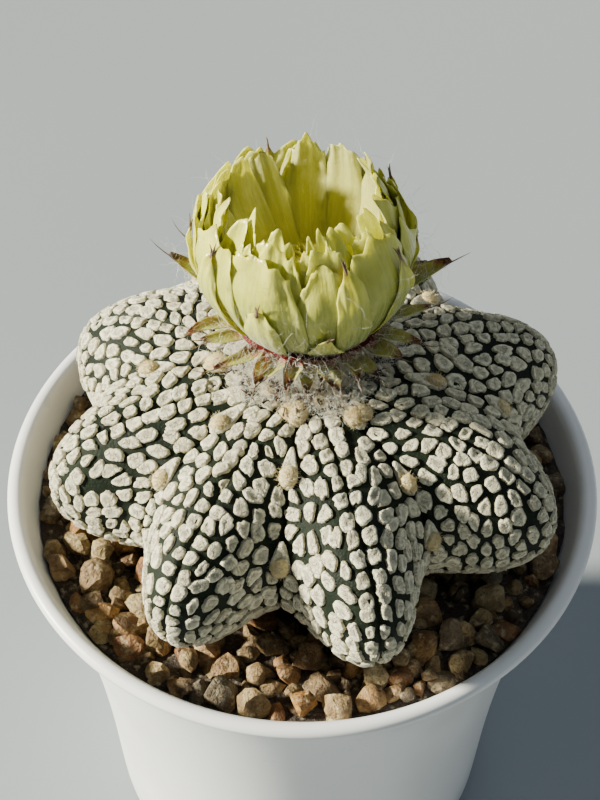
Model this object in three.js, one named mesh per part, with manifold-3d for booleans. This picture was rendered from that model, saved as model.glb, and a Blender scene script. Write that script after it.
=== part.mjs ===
// Potted star cactus with one half-open flower, in millimetres, +Z up.
// The origin is the centre of the pot's bottom, on the surface that the pot stands on.
import * as THREE from 'three'
import { mergeVertices } from 'three/addons/utils/BufferGeometryUtils.js'
import Module from 'manifold-3d'

const wasm = await Module()
wasm.setup()

// Driving dimensions of the pot and of what fills it
const POT_HEIGHT = 80
const RIM_RADIUS = 45
const FOOT_RADIUS = 31.6
const FOOT_INNER_RADIUS = 25
const FOOT_RECESS = 2
const FOOT_BEVEL = 0.6
const FLOOR_THICKNESS = 1.2
const DRAIN_RADIUS = 6
const SIDE_DRAIN_RADIUS = 2.5
const SIDE_DRAIN_COUNT = 6
const SIDE_DRAIN_CIRCLE = 16
const SIDE_DRAIN_SEGMENTS = 12
const POT_SEGMENTS = 42
const CLEARANCE = 0.35
const MIX_TOP = POT_HEIGHT - 14
const GRAVEL_TOP = POT_HEIGHT - 4.4

// Walls of the pot as [radius, height], from the foot to just under the lip, and the rolled
// lip as [radius, depth below the rim], from the outer wall over to the inner wall
const OUTER_WALL = [[32.6, 1], [33, 5], [34, 24], [35.6, 42], [38.2, 60], [40.4, 70], [43, 77]]
const INNER_WALL = [
  [31.2, FOOT_RECESS + FLOOR_THICKNESS], [31.8, 5], [34.4, 42], [37, 60], [39.2, 70], [41.8, 77],
]
const LIP = [[44.4, 2], [RIM_RADIUS, 1.1], [44.7, 0.35], [43.9, 0], [42.6, 0.6]]

// Driving dimensions of the gravel's pebbles. Those further under the body than this share of
// its reach and this distance stay flat.
const PEBBLE = {
  pitch: 4.6, columns: 48, rings: 4, raise: 2.3, raiseSpread: 0.25, taper: 0.6, jitter: 0.9, turnJitter: 0.22,
}
const PEBBLE_LIMIT = { share: 0.7, distance: 2.2 }

// Driving dimensions of the cactus body
const BODY_CENTRE = new THREE.Vector2(0, -1.2)
const WAIST_Z = POT_HEIGHT + 10.9
const DOME_HEIGHT = 14.7
const BELLY_DEPTH = 14.9
const DOME_FULLNESS = { across: 3.08, up: 2.24 }
const BELLY_FULLNESS = { across: 3, up: 2.1 }
const ARM_SHARPNESS = 2.25
const NECK_TOP = WAIST_Z - BELLY_DEPTH
const NECK_RADIUS = 10
const NECK_BLEND = { start: 0.62, end: 0.36 }
const TAPROOT = [[10, 3.4], [9.4, 8], [7, 20], [4, 30], [1.6, 37]]
const TAPROOT_POINT = 2
const TAPROOT_SEGMENTS = 12
const NECK_OVERLAP = { edge: 1.5, middle: 2.5 }
const UNDERSIDE_SLOPES = [156, 138]

// Arms, anticlockwise from the right: azimuth of the crest in degrees, reach of the tip and
// reach of the furrow that follows it
const ARMS = [
  { azimuth: 20.3, tip: 40.4, furrow: 31.4 },
  { azimuth: 65.3, tip: 37.8, furrow: 28.8 },
  { azimuth: 99.4, tip: 38.8, furrow: 31.6 },
  { azimuth: 153.1, tip: 37.8, furrow: 30.9 },
  { azimuth: 196.4, tip: 37.6, furrow: 29 },
  { azimuth: 241.2, tip: 38.8, furrow: 27.8 },
  { azimuth: 286.1, tip: 38.8, furrow: 28.2 },
  { azimuth: 333.9, tip: 39.3, furrow: 31.6 },
]

// Driving dimensions of the white flecks and of the areoles along the furrows
const FLECK = { pitch: 4.9, raise: 0.8, taper: 0.72, phaseJitter: 0.025, slopeJitter: 0.006 }
const FLECK_START_RADIUS = 7
const FLECK_SPLIT_RADIUS = 23
const FLECK_LOWEST_Z = POT_HEIGHT + 0.5
const FLECK_LAST_SLOPE = 140
const AREOLE = {
  ballRadius: 2, ballHeight: 1.9, ballLift: 0.2, tailLength: 4.6, tailHalfWidth: 1.2, tailHeight: 1.1,
}
const AREOLE_BARE = { radius: 3.1, shift: 1.4 }
const AREOLE_STEPS = [0.3, 0.52, 0.74, 0.95]
const AREOLE_SHIFT = 0.03
const FIRST_AREOLE_SCALE = 1.1
const WOOL_ROOM = { flecks: 3, areoles: 2.6 }

// Driving dimensions of the flower
const FLOWER_AXIS = new THREE.Vector2(0.4, 2)
const FLOWER_Z = POT_HEIGHT + 47.2
const TUBE_FOOT_RADIUS = 4.3
const TUBE_TOP_RADIUS = 11.5
const TUBE_TOP_Z = FLOWER_Z - 9.9
const TUBE_CURVE = 1.5
const TUBE_STEPS = 6
const TUBE_SEGMENTS = 18
const WOOL = { radius: 8.4, height: 3.4, columns: 16, wave: 0.45, foot: 1, edge: 0.9, shoulder: 1.2, top: 2 }
const TUFT = {
  count: 12, inset: 1.6, reach: 1.1, footRise: 1.1, tipRise: 2.2, halfWidth: 1.1, halfThickness: 0.5,
}
const CUP_PROFILE = [[11.2, -9.5], [13.6, -6.6], [14.9, -2.6], [15.2, 1.6], [14.6, 5], [13.2, 8], [11.2, 10.2]]
const CUP_INSET = 3.9
const CUP_WALL = 0.9
const CUP_STOPS = [0, 0.25, 0.5, 0.78]
const CUP_SEGMENTS = 16
const CUP_LIP = 0.4
const FLOOR_Z = FLOWER_Z - 8.5

// Scales stand round the tube in three rows: drooping, level and rising
const SCALE_ROWS = [
  { count: 8, height: 0.62, length: 5, rise: -1.6, halfWidth: 1.3, phase: 0.2 },
  { count: 9, height: 0.82, length: 6, rise: 0.6, halfWidth: 1.5, phase: 0.6 },
  { count: 7, height: 0.88, length: 6.5, rise: 5.4, halfWidth: 1.7, phase: 0.1 },
]
const SCALE = { rootDepth: 1.2, halfThickness: 0.45 }

// Petals stand round the cup in layers, the outermost lowest. A layer has the shares of the
// cup's height where its petals start and end, and their distance out from the cup.
const PETAL_LAYERS = [
  { count: 8, start: 0.24, end: 1.12, outset: 0.85, halfWidth: 4.2, lean: -2, phase: 0.1 },
  { count: 7, start: 0.16, end: 0.95, outset: 1.95, halfWidth: 4.2, lean: -0.5, phase: 0.62 },
  { count: 7, start: 0.08, end: 0.74, outset: 2.85, halfWidth: 4, lean: 0.2, phase: 0.3 },
  { count: 5, start: 0, end: 0.42, outset: 3.75, halfWidth: 2.8, lean: 0.5, phase: 0.5 },
]
const PETAL_SECTIONS = [[0, 0.6], [0.3, 0.96], [0.7, 0.88], [1, 0.08]]
const PETAL = { thickness: 0.6, rootSink: 0.6, ridge: 0.1, edgeDrop: 0.4, pastHeight: 24, pastLean: 0.5 }

// Stamens stand in two rows on a ring, round the pistil
const STAMEN_RING = { inner: 2, outer: 5.7, height: 0.9, segments: 16 }
const STAMEN_ROWS = [{ foot: 3, tip: 4.2, height: 7.8 }, { foot: 4.9, tip: 6.4, height: 6.6 }]
const STAMEN_COUNT = 14
const THREAD_RADIUS = 0.35
const ANTHER = { radius: 0.6, halfLength: 0.9 }
const STYLE = { height: 8.6, footRadius: 1.5, radius: 0.9, topRadius: 0.8, segments: 10 }
const LOBE = { count: 6, root: 0.3, reach: 2.8, rise: 1.2, sink: 0.2, halfWidth: 0.5, halfThickness: 0.4 }

const SCRAP_VOLUME = 0.1
const SLIVER = 0.08
const SEED = 20
let random

// Mulberry32, so that every build draws the same numbers
function seededRandom(seed) {
  let state = seed
  return () => {
    state = (state + 0x6d2b79f5) | 0
    let t = Math.imul(state ^ (state >>> 15), 1 | state)
    t = (t + Math.imul(t ^ (t >>> 7), 61 | t)) ^ t
    return ((t ^ (t >>> 14)) >>> 0) / 4294967296
  }
}

const spread = (amount) => (random() * 2 - 1) * amount
const radians = THREE.MathUtils.degToRad
const mix = THREE.MathUtils.lerp

// Solids and meshes

function toSolid(geometry) {
  const bare = geometry.clone()
  bare.deleteAttribute('normal')
  bare.deleteAttribute('uv')
  const merged = mergeVertices(bare, 1e-4)
  const index = merged.index.array
  const kept = []
  for (let i = 0; i < index.length; i += 3) {
    const [a, b, c] = [index[i], index[i + 1], index[i + 2]]
    if (a !== b && b !== c && c !== a) kept.push(a, b, c)
  }
  return new wasm.Manifold(new wasm.Mesh({
    numProp: 3,
    vertProperties: new Float32Array(merged.attributes.position.array),
    triVerts: new Uint32Array(kept),
  }))
}

function toGeometry(solid) {
  const { vertProperties, triVerts, numProp } = solid.getMesh()
  const positions = new Float32Array((vertProperties.length / numProp) * 3)
  for (let i = 0; i < positions.length / 3; i += 1) {
    for (let axis = 0; axis < 3; axis += 1) positions[i * 3 + axis] = vertProperties[i * numProp + axis]
  }
  const geometry = new THREE.BufferGeometry()
  geometry.setAttribute('position', new THREE.BufferAttribute(positions, 3))
  geometry.setIndex(new THREE.BufferAttribute(new Uint32Array(triVerts), 1))
  geometry.computeVertexNormals()
  return geometry
}

// One body: pockets that the union seals are filled, scraps are dropped, and slivers are merged
function fuse(solids) {
  const shells = wasm.Manifold.union(solids).simplify(SLIVER).decompose()
  return wasm.Manifold.union(shells.filter((shell) => shell.volume() > SCRAP_VOLUME))
}

// Turned solid from a closed [radius, height] profile that runs upward on its outside
function turned(profile, segments, centre = new THREE.Vector2()) {
  const points = profile.map(([radius, height]) => new THREE.Vector2(radius, height))
  if (profile[0][0] > 0) points.push(points[0].clone())
  const geometry = new THREE.LatheGeometry(points, segments)
  geometry.rotateX(Math.PI / 2)
  geometry.translate(centre.x, centre.y, 0)
  return toSolid(geometry)
}

// Closed solid through rings of points, from the first ring to the last. Each ring runs
// anticlockwise seen from the last one, and the ends are closed by a point in their middle.
function lofted(rings, firstPole, lastPole) {
  const count = rings[0].length
  const points = [firstPole, ...rings.flat(), lastPole]
  const index = []
  const at = (ring, i) => 1 + ring * count + (i % count)
  for (let i = 0; i < count; i += 1) {
    index.push(0, at(0, i + 1), at(0, i))
    index.push(points.length - 1, at(rings.length - 1, i), at(rings.length - 1, i + 1))
    for (let ring = 0; ring + 1 < rings.length; ring += 1) {
      index.push(at(ring, i), at(ring, i + 1), at(ring + 1, i + 1))
      index.push(at(ring, i), at(ring + 1, i + 1), at(ring + 1, i))
    }
  }
  const geometry = new THREE.BufferGeometry().setFromPoints(points)
  geometry.setIndex(index)
  return toSolid(geometry)
}

// Closed solid whose surface is cobbled: rings of groove corners, and in each row between two
// rings a number of cells, each with a raised top. A row has cells, taper and raiseAt(centre).
function cobbled(rings, rows, firstPole, lastPole) {
  const points = [firstPole, ...rings.flat()]
  const starts = rings.map((_, i) => 1 + rings.slice(0, i).flat().length)
  const index = []
  const span = (ring, cell, cells) => {
    const step = rings[ring].length / cells
    return Array.from({ length: step + 1 }, (_, i) => starts[ring] + ((cell * step + i) % rings[ring].length))
  }
  rows.forEach((row, ring) => {
    for (let cell = 0; cell < row.cells; cell += 1) {
      const lower = span(ring, cell, row.cells)
      const upper = span(ring + 1, cell, row.cells).reverse()
      const corners = [lower[0], lower.at(-1), upper[0], upper.at(-1)]
      const centre = middle(corners.map((i) => points[i].clone()))
      const raise = row.raiseAt ? row.raiseAt(centre) : 0
      if (raise > 0) raiseCell(points, index, { lower, upper, corners, centre, raise, taper: row.taper })
      else fanCell(index, lower, upper)
    }
  })
  points.push(lastPole)
  for (const [ring, pole, way] of [[0, 0, 1], [rings.length - 1, points.length - 1, 0]]) {
    for (let i = 0; i < rings[ring].length; i += 1) {
      index.push(pole, ...span(ring, i + way, rings[ring].length).slice(0, 1))
      index.push(...span(ring, i + 1 - way, rings[ring].length).slice(0, 1))
    }
  }
  const geometry = new THREE.BufferGeometry().setFromPoints(points)
  geometry.setIndex(index)
  return toSolid(geometry)
}

function raiseCell(points, index, { lower, upper, corners, centre, raise, taper }) {
  const [a, b, c, d] = corners.map((i) => points[i])
  const normal = c.clone().sub(a).cross(d.clone().sub(b)).normalize()
  const tops = corners.map((corner) => {
    points.push(centre.clone().lerp(points[corner], taper).addScaledVector(normal, raise))
    return points.length - 1
  })
  const sides = [lower, [corners[1], corners[2]], upper, [corners[3], corners[0]]]
  sides.forEach((side, i) => {
    const [here, next] = [tops[i], tops[(i + 1) % 4]]
    if (side.length === 3) index.push(side[0], side[1], here, side[1], side[2], next, side[1], next, here)
    else index.push(side[0], side[1], next, side[0], next, here)
  })
  index.push(tops[0], tops[1], tops[2], tops[0], tops[2], tops[3])
}

function fanCell(index, lower, upper) {
  const loop = [...lower, ...upper]
  const from = upper.length === 3 ? lower.length + 1 : 1
  const turned = loop.map((_, i) => loop[(i + from) % loop.length])
  const fan = lower.length === 3 || upper.length === 3 ? turned : loop
  for (let i = 1; i + 1 < fan.length; i += 1) index.push(fan[0], fan[i], fan[i + 1])
}

const middle = (ring) => ring.reduce((sum, p) => sum.add(p), new THREE.Vector3()).divideScalar(ring.length)

// The star-shaped body's surface

const superTerm = (value, power) => Math.sign(value) * Math.abs(value) ** (2 / power)

function armsAround(phase) {
  const wrapped = ((phase % ARMS.length) + ARMS.length) % ARMS.length
  const first = Math.floor(wrapped)
  return { first: ARMS[first], next: ARMS[(first + 1) % ARMS.length], share: wrapped - first }
}

// phase counts arms: a whole number is a crest and a half is the furrow after it
function azimuthAt(phase) {
  const { first, next, share } = armsAround(phase)
  const turn = (next.azimuth - first.azimuth + 360) % 360
  return radians(first.azimuth + turn * share)
}

function reachAt(phase) {
  const { first, next, share } = armsAround(phase)
  const tip = share < 0.5 ? first.tip : next.tip
  return first.furrow + (tip - first.furrow) * Math.abs(Math.cos(Math.PI * share)) ** ARM_SHARPNESS
}

function phaseAt(azimuth) {
  const degrees = THREE.MathUtils.radToDeg(azimuth)
  for (let arm = 0; arm < ARMS.length; arm += 1) {
    const turn = (ARMS[(arm + 1) % ARMS.length].azimuth - ARMS[arm].azimuth + 360) % 360
    const past = (((degrees - ARMS[arm].azimuth) % 360) + 360) % 360
    if (past < turn) return arm + past / turn
  }
  return 0
}

// slope runs from 0 at the crown through 90 degrees at the waist to 180 under the body
function bodyPoint(phase, slope) {
  const under = slope > Math.PI / 2
  const fullness = under ? BELLY_FULLNESS : DOME_FULLNESS
  const share = superTerm(Math.sin(slope), fullness.across)
  const blend = under ? THREE.MathUtils.smoothstep(-share, -NECK_BLEND.start, -NECK_BLEND.end) : 0
  const reach = mix(reachAt(phase), NECK_RADIUS / NECK_BLEND.end, blend) * share
  const azimuth = azimuthAt(phase)
  const rise = superTerm(Math.cos(slope), fullness.up) * (under ? BELLY_DEPTH : DOME_HEIGHT)
  return new THREE.Vector3(
    BODY_CENTRE.x + reach * Math.cos(azimuth),
    BODY_CENTRE.y + reach * Math.sin(azimuth),
    WAIST_Z + rise,
  )
}

// Outward normal and the two tangents that span the surface
function bodyFrame(phase, slope) {
  const step = 0.01
  const along = bodyPoint(phase, slope + step).sub(bodyPoint(phase, slope - step)).normalize()
  const across = bodyPoint(phase + step, slope).sub(bodyPoint(phase - step, slope)).normalize()
  const normal = new THREE.Vector3().crossVectors(along, across).normalize()
  const level = new THREE.Vector3().crossVectors(normal, along)
  return { point: bodyPoint(phase, slope), normal, along, across: level }
}

// Height of the upper surface above a place near the crown
function domeHeightAt(x, y) {
  const dx = x - BODY_CENTRE.x
  const dy = y - BODY_CENTRE.y
  const share = Math.min(1, Math.hypot(dx, dy) / reachAt(phaseAt(Math.atan2(dy, dx))))
  return WAIST_Z + DOME_HEIGHT * (1 - share ** DOME_FULLNESS.across) ** (1 / DOME_FULLNESS.up)
}

const slopeOfShare = (share) => Math.asin(share ** (DOME_FULLNESS.across / 2))

// Slopes of the grooves between the rows of flecks, a pitch apart along the surface
function fleckSlopes() {
  const slopes = []
  const samples = 600
  const sidePhase = 0.2
  let travelled = FLECK.pitch
  let before = bodyPoint(sidePhase, 0.001)
  for (let i = 1; i < samples; i += 1) {
    const slope = radians(FLECK_LAST_SLOPE) * (i / samples)
    const here = bodyPoint(sidePhase, slope)
    const radius = Math.hypot(here.x - BODY_CENTRE.x, here.y - BODY_CENTRE.y)
    if (slopes.length || radius > FLECK_START_RADIUS) travelled += here.distanceTo(before)
    before = here
    if (radius < FLECK_START_RADIUS || travelled < FLECK.pitch) continue
    if (here.z < FLECK_LOWEST_Z) break
    slopes.push(slope)
    travelled = 0
  }
  return slopes
}

// The body without its root: grooves at each crest and furrow, and a fleck in each cell
function bodySkin() {
  const bare = areolePlaces().map(({ phase, slope }) => {
    const { point, along } = bodyFrame(phase, slope)
    return point.addScaledVector(along, -AREOLE_BARE.shift)
  })
  const raiseAt = (centre) => {
    const clear = clearOfWool(centre, WOOL_ROOM.flecks)
      && bare.every((spot) => spot.distanceTo(centre) > AREOLE_BARE.radius)
    return clear ? FLECK.raise : 0
  }
  const slopes = [...UNDERSIDE_SLOPES.map(radians), ...fleckSlopes().reverse()]
  const isOuter = (slope) => slope > Math.PI / 2 || bodyPoint(0, slope).x - BODY_CENTRE.x > FLECK_SPLIT_RADIUS
  const rows = slopes.slice(1).map((slope, i) => ({
    cells: ARMS.length * (isOuter(slope) && i > 0 ? 8 : 4),
    taper: FLECK.taper,
    raiseAt: i > 0 ? raiseAt : undefined,
  }))
  const rings = slopes.map((slope, i) => {
    const columns = Math.max(rows[i - 1]?.cells ?? 0, rows[i]?.cells ?? 0)
    return Array.from({ length: columns }, (_, column) => {
      const phase = (column / columns) * ARMS.length
      const onSeam = Math.abs(phase * 2 - Math.round(phase * 2)) < 1e-6
      const shift = i < UNDERSIDE_SLOPES.length ? 0 : spread(FLECK.slopeJitter)
      return bodyPoint(phase + (onSeam ? 0 : spread(FLECK.phaseJitter)), slope + shift)
    })
  })
  return cobbled(rings, rows, bodyPoint(0, Math.PI), bodyPoint(0, 0))
}

const clearOfWool = ({ x, y }, room) => Math.hypot(x - FLOWER_AXIS.x, y - FLOWER_AXIS.y) > WOOL.radius + room

// Places of the areoles: each furrow has a row of them, from the crown out
function areolePlaces() {
  return ARMS.flatMap((_, arm) => AREOLE_STEPS.map((share, step) => {
    const shift = step + 1 < AREOLE_STEPS.length ? (arm % 3 - 1) * AREOLE_SHIFT : 0
    return { phase: arm + 0.5, slope: slopeOfShare(share + shift), size: step === 0 ? FIRST_AREOLE_SCALE : 1 }
  })).filter(({ phase, slope }) => clearOfWool(bodyPoint(phase, slope), WOOL_ROOM.areoles))
}

function areole({ phase, slope, size }) {
  const { point, normal, along, across } = bodyFrame(phase, slope)
  const basis = new THREE.Matrix4().makeBasis(along, across, normal)
  const turn = new THREE.Quaternion().setFromRotationMatrix(basis)
  const radius = AREOLE.ballRadius * size
  const ball = new THREE.OctahedronGeometry(1, 0)
  ball.applyMatrix4(new THREE.Matrix4().compose(
    point.clone().addScaledVector(normal, AREOLE.ballLift), turn,
    new THREE.Vector3(radius, radius, AREOLE.ballHeight)))
  const tail = new THREE.OctahedronGeometry(1, 0)
  tail.applyMatrix4(new THREE.Matrix4().compose(
    point.clone().addScaledVector(along, -AREOLE.tailLength / 2), turn,
    new THREE.Vector3(AREOLE.tailLength / 2, AREOLE.tailHalfWidth * size, AREOLE.tailHeight)))
  return fuse([toSolid(ball), toSolid(tail)])
}

function cactusBody() {
  const root = turned([
    [0, NECK_TOP - TAPROOT.at(-1)[1] - TAPROOT_POINT],
    ...TAPROOT.map(([radius, depth]) => [radius, NECK_TOP - depth]).reverse(),
    [NECK_RADIUS, NECK_TOP + NECK_OVERLAP.edge],
    [0, NECK_TOP + NECK_OVERLAP.middle],
  ], TAPROOT_SEGMENTS, BODY_CENTRE)
  return fuse([bodySkin(), root, ...areolePlaces().map(areole)])
}

// Pot, mix and gravel

function pot() {
  const shell = turned([
    [DRAIN_RADIUS, FOOT_RECESS],
    [FOOT_INNER_RADIUS - FOOT_BEVEL, FOOT_RECESS],
    [FOOT_INNER_RADIUS, 0],
    [FOOT_RADIUS, 0],
    ...OUTER_WALL,
    ...LIP.map(([radius, depth]) => [radius, POT_HEIGHT - depth]),
    ...[...INNER_WALL].reverse(),
    [DRAIN_RADIUS, FOOT_RECESS + FLOOR_THICKNESS],
  ], POT_SEGMENTS)
  const drains = Array.from({ length: SIDE_DRAIN_COUNT }, (_, i) => {
    const turn = (i / SIDE_DRAIN_COUNT) * Math.PI * 2
    const hole = new THREE.CylinderGeometry(
      SIDE_DRAIN_RADIUS, SIDE_DRAIN_RADIUS, FOOT_RECESS * 6, SIDE_DRAIN_SEGMENTS)
    hole.rotateX(Math.PI / 2)
    hole.translate(SIDE_DRAIN_CIRCLE * Math.cos(turn), SIDE_DRAIN_CIRCLE * Math.sin(turn), FOOT_RECESS)
    return toSolid(hole)
  })
  return shell.subtract(fuse(drains))
}

// Inner radius of the pot at a height, less the clearance
function fillRadius(height) {
  const after = INNER_WALL.findIndex(([, z]) => z >= height)
  const [[r0, z0], [r1, z1]] = [INNER_WALL[after - 1], INNER_WALL[after]]
  return mix(r0, r1, (height - z0) / (z1 - z0)) - CLEARANCE
}

function fillHeights(bottom, top) {
  return [bottom, ...INNER_WALL.map(([, z]) => z).filter((z) => z > bottom && z < top), top]
}

// Plain hole for the neck and the taproot
function rootHole() {
  return turned([
    [0, NECK_TOP - TAPROOT.at(-1)[1] - TAPROOT_POINT - CLEARANCE * 2],
    ...TAPROOT.map(([radius, depth]) => [radius + CLEARANCE, NECK_TOP - depth]).reverse(),
    [NECK_RADIUS + CLEARANCE, POT_HEIGHT],
    [0, POT_HEIGHT],
  ], TAPROOT_SEGMENTS, BODY_CENTRE)
}

function pottingMix() {
  const bottom = FOOT_RECESS + FLOOR_THICKNESS + CLEARANCE
  const side = fillHeights(bottom, MIX_TOP).map((z) => [fillRadius(z), z])
  return turned([[0, bottom], ...side, [0, MIX_TOP]], POT_SEGMENTS).subtract(rootHole())
}

// Pebbles lie in rings between the pot's wall and the body's underside
function gravel() {
  const ringAt = (radius, z, jitter, turnJitter) => Array.from({ length: PEBBLE.columns }, (_, i) => {
    const azimuth = ((i + spread(turnJitter)) / PEBBLE.columns) * Math.PI * 2
    const reach = radius + spread(jitter)
    return new THREE.Vector3(reach * Math.cos(azimuth), reach * Math.sin(azimuth), z)
  })
  const wallHeights = fillHeights(MIX_TOP + CLEARANCE, GRAVEL_TOP)
  const wall = wallHeights.map((z) => ringAt(fillRadius(z), z, 0, 0))
  const beds = Array.from({ length: PEBBLE.rings }, (_, i) => (
    ringAt(fillRadius(GRAVEL_TOP) - PEBBLE.pitch * (i + 1), GRAVEL_TOP, PEBBLE.jitter, PEBBLE.turnJitter)))
  const rings = [...wall, ...beds]
  const raiseAt = (centre) => (besideBody(centre) ? PEBBLE.raise * (1 + spread(PEBBLE.raiseSpread)) : 0)
  const rows = rings.slice(1).map((_, i) => (
    i + 1 < wall.length ? { cells: PEBBLE.columns } : { cells: PEBBLE.columns, taper: PEBBLE.taper, raiseAt }))
  const bottom = new THREE.Vector3(0, 0, MIX_TOP + CLEARANCE)
  return cobbled(rings, rows, bottom, new THREE.Vector3(0, 0, GRAVEL_TOP)).subtract(rootHole())
}

// Whether a pebble's place is out from under the body
function besideBody({ x, y }) {
  const toBody = new THREE.Vector2(x, y).sub(BODY_CENTRE)
  return toBody.length() > reachAt(phaseAt(toBody.angle())) * PEBBLE_LIMIT.share + PEBBLE_LIMIT.distance
}

// The flower and the wool round its foot

const tubeFootZ = domeHeightAt(FLOWER_AXIS.x, FLOWER_AXIS.y) + CLEARANCE

function tubeRadius(rise) {
  const share = THREE.MathUtils.clamp(rise / (TUBE_TOP_Z - tubeFootZ), 0, 1)
  return mix(TUBE_FOOT_RADIUS, TUBE_TOP_RADIUS, share ** TUBE_CURVE)
}

// Point at a distance from the flower's axis
function aroundFlower(radius, azimuth, z) {
  return new THREE.Vector3(
    FLOWER_AXIS.x + radius * Math.cos(azimuth),
    FLOWER_AXIS.y + radius * Math.sin(azimuth),
    z,
  )
}

function crownWool() {
  const { columns } = WOOL
  const ringOf = (radiusAt, zAt) => Array.from({ length: columns }, (_, i) => {
    const azimuth = (i / columns) * Math.PI * 2
    const radius = radiusAt(i)
    return aroundFlower(radius, azimuth, zAt(radius, azimuth, i))
  })
  const lift = (radius, azimuth) => {
    const p = aroundFlower(radius, azimuth, 0)
    return domeHeightAt(p.x, p.y) + CLEARANCE
  }
  const wave = Array.from({ length: columns }, () => spread(WOOL.wave))
  const inner = (rise) => tubeRadius(rise) + CLEARANCE
  const rings = [
    ringOf(() => inner(WOOL.height), () => tubeFootZ + WOOL.height),
    ringOf(() => inner(0), lift),
    ringOf((i) => WOOL.radius - WOOL.foot + wave[i], lift),
    ringOf((i) => WOOL.radius + wave[i], (r, a) => lift(r, a) + WOOL.edge),
    ringOf((i) => WOOL.radius - WOOL.shoulder + wave[i], (r, a, i) => lift(r, a) + WOOL.top + wave[i]),
  ]
  const mat = ringSolid(rings)
  const tufts = Array.from({ length: TUFT.count }, (_, i) => {
    const azimuth = ((i + spread(0.2)) / TUFT.count) * Math.PI * 2
    const foot = aroundFlower(WOOL.radius - TUFT.inset, azimuth, tubeFootZ + TUFT.footRise)
    const reach = WOOL.radius + TUFT.reach + spread(0.4)
    const tip = aroundFlower(reach, azimuth + spread(0.15), tubeFootZ + TUFT.tipRise + spread(0.5))
    return spike(foot, tip, TUFT.halfWidth, TUFT.halfThickness)
  })
  return fuse([mat, ...tufts])
}

// Ring-shaped solid: a closed section of points carried once round
function ringSolid(rings) {
  const count = rings[0].length
  const points = rings.flat()
  const index = []
  const at = (ring, i) => (ring % rings.length) * count + (i % count)
  for (let ring = 0; ring < rings.length; ring += 1) {
    for (let i = 0; i < count; i += 1) {
      index.push(at(ring, i), at(ring, i + 1), at(ring + 1, i + 1))
      index.push(at(ring, i), at(ring + 1, i + 1), at(ring + 1, i))
    }
  }
  const geometry = new THREE.BufferGeometry().setFromPoints(points)
  geometry.setIndex(index)
  return toSolid(geometry)
}

// Four-sided spike from a foot to a tip, with a half width and a half thickness
function spike(foot, tip, halfWidth, halfThickness, bulge = 0.55) {
  const axis = tip.clone().sub(foot)
  const side = new THREE.Vector3(0, 0, 1).cross(axis).normalize()
  const up = axis.clone().cross(side).normalize()
  const ringAt = (share, scale) => [[1, 0], [0, 1], [-1, 0], [0, -1]].map(([a, b]) => (
    foot.clone().addScaledVector(axis, share)
      .addScaledVector(side, a * halfWidth * scale)
      .addScaledVector(up, b * halfThickness * scale)))
  return lofted([ringAt(0, 0.8), ringAt(bulge, 1), ringAt(0.93, 0.3)], foot, tip)
}

function flowerTube() {
  const rise = TUBE_TOP_Z - tubeFootZ
  const outside = Array.from({ length: TUBE_STEPS }, (_, i) => {
    const height = (rise * i) / (TUBE_STEPS - 1)
    return [tubeRadius(height), tubeFootZ + height]
  })
  const tube = turned([[0, tubeFootZ], ...outside, [0, TUBE_TOP_Z]], TUBE_SEGMENTS, FLOWER_AXIS)
  const scales = SCALE_ROWS.flatMap((row) => Array.from({ length: row.count }, (_, i) => {
    const azimuth = ((i + row.phase + spread(0.12)) / row.count) * Math.PI * 2
    const z = tubeFootZ + rise * row.height
    const radius = tubeRadius(rise * row.height)
    const foot = aroundFlower(radius - SCALE.rootDepth, azimuth, z)
    const tip = aroundFlower(radius + row.length * (1 + spread(0.1)), azimuth, z + row.rise + spread(0.4))
    return spike(foot, tip, row.halfWidth, SCALE.halfThickness)
  }))
  return fuse([tube, ...scales])
}

const cupCurve = new THREE.SplineCurve(CUP_PROFILE.map(([radius, height]) => new THREE.Vector2(radius, height)))

function petal(layer, azimuth, reach) {
  const outer = []
  const inner = []
  for (const [share, width] of PETAL_SECTIONS) {
    const along = mix(layer.start, layer.end, share) * reach
    const onCup = cupCurve.getPoint(Math.min(along, 1))
    const past = Math.max(0, along - 1) * PETAL.pastHeight
    const rooted = Math.min(1, share * 4)
    const tipLean = layer.lean * share ** 5
    for (const side of [-1, 0, 1]) {
      const radius = onCup.x - CUP_INSET + mix(-PETAL.rootSink, layer.outset, rooted) + tipLean
        - past * PETAL.pastLean
      const swing = (side * layer.halfWidth * width) / onCup.x
      const cupped = side === 0 ? PETAL.ridge : 0
      const z = FLOWER_Z + onCup.y + past - Math.abs(side) * share ** 2 * PETAL.edgeDrop
      outer.push(aroundFlower(radius + cupped + PETAL.thickness / 2, azimuth + swing, z))
      inner.push(aroundFlower(radius + cupped - PETAL.thickness / 2, azimuth + swing, z))
    }
  }
  return bladeSolid(outer, inner, 3)
}

// Blade between two point grids of the same columns, split alike on both faces
function bladeSolid(outer, inner, columns) {
  const rows = outer.length / columns
  const shift = outer.length
  const index = []
  for (let row = 0; row + 1 < rows; row += 1) {
    for (let column = 0; column + 1 < columns; column += 1) {
      const a = row * columns + column
      const [b, c, d] = [a + 1, a + columns + 1, a + columns]
      index.push(a, b, c, a, c, d)
      index.push(shift + a, shift + c, shift + b, shift + a, shift + d, shift + c)
    }
  }
  const border = []
  for (let column = 0; column + 1 < columns; column += 1) border.push(column)
  for (let row = 0; row + 1 < rows; row += 1) border.push(row * columns + columns - 1)
  for (let column = columns - 1; column > 0; column -= 1) border.push((rows - 1) * columns + column)
  for (let row = rows - 1; row > 0; row -= 1) border.push(row * columns)
  border.forEach((here, i) => {
    const next = border[(i + 1) % border.length]
    index.push(here, shift + here, shift + next, here, shift + next, next)
  })
  const geometry = new THREE.BufferGeometry().setFromPoints([...outer, ...inner])
  geometry.setIndex(index)
  return toSolid(geometry)
}

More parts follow.
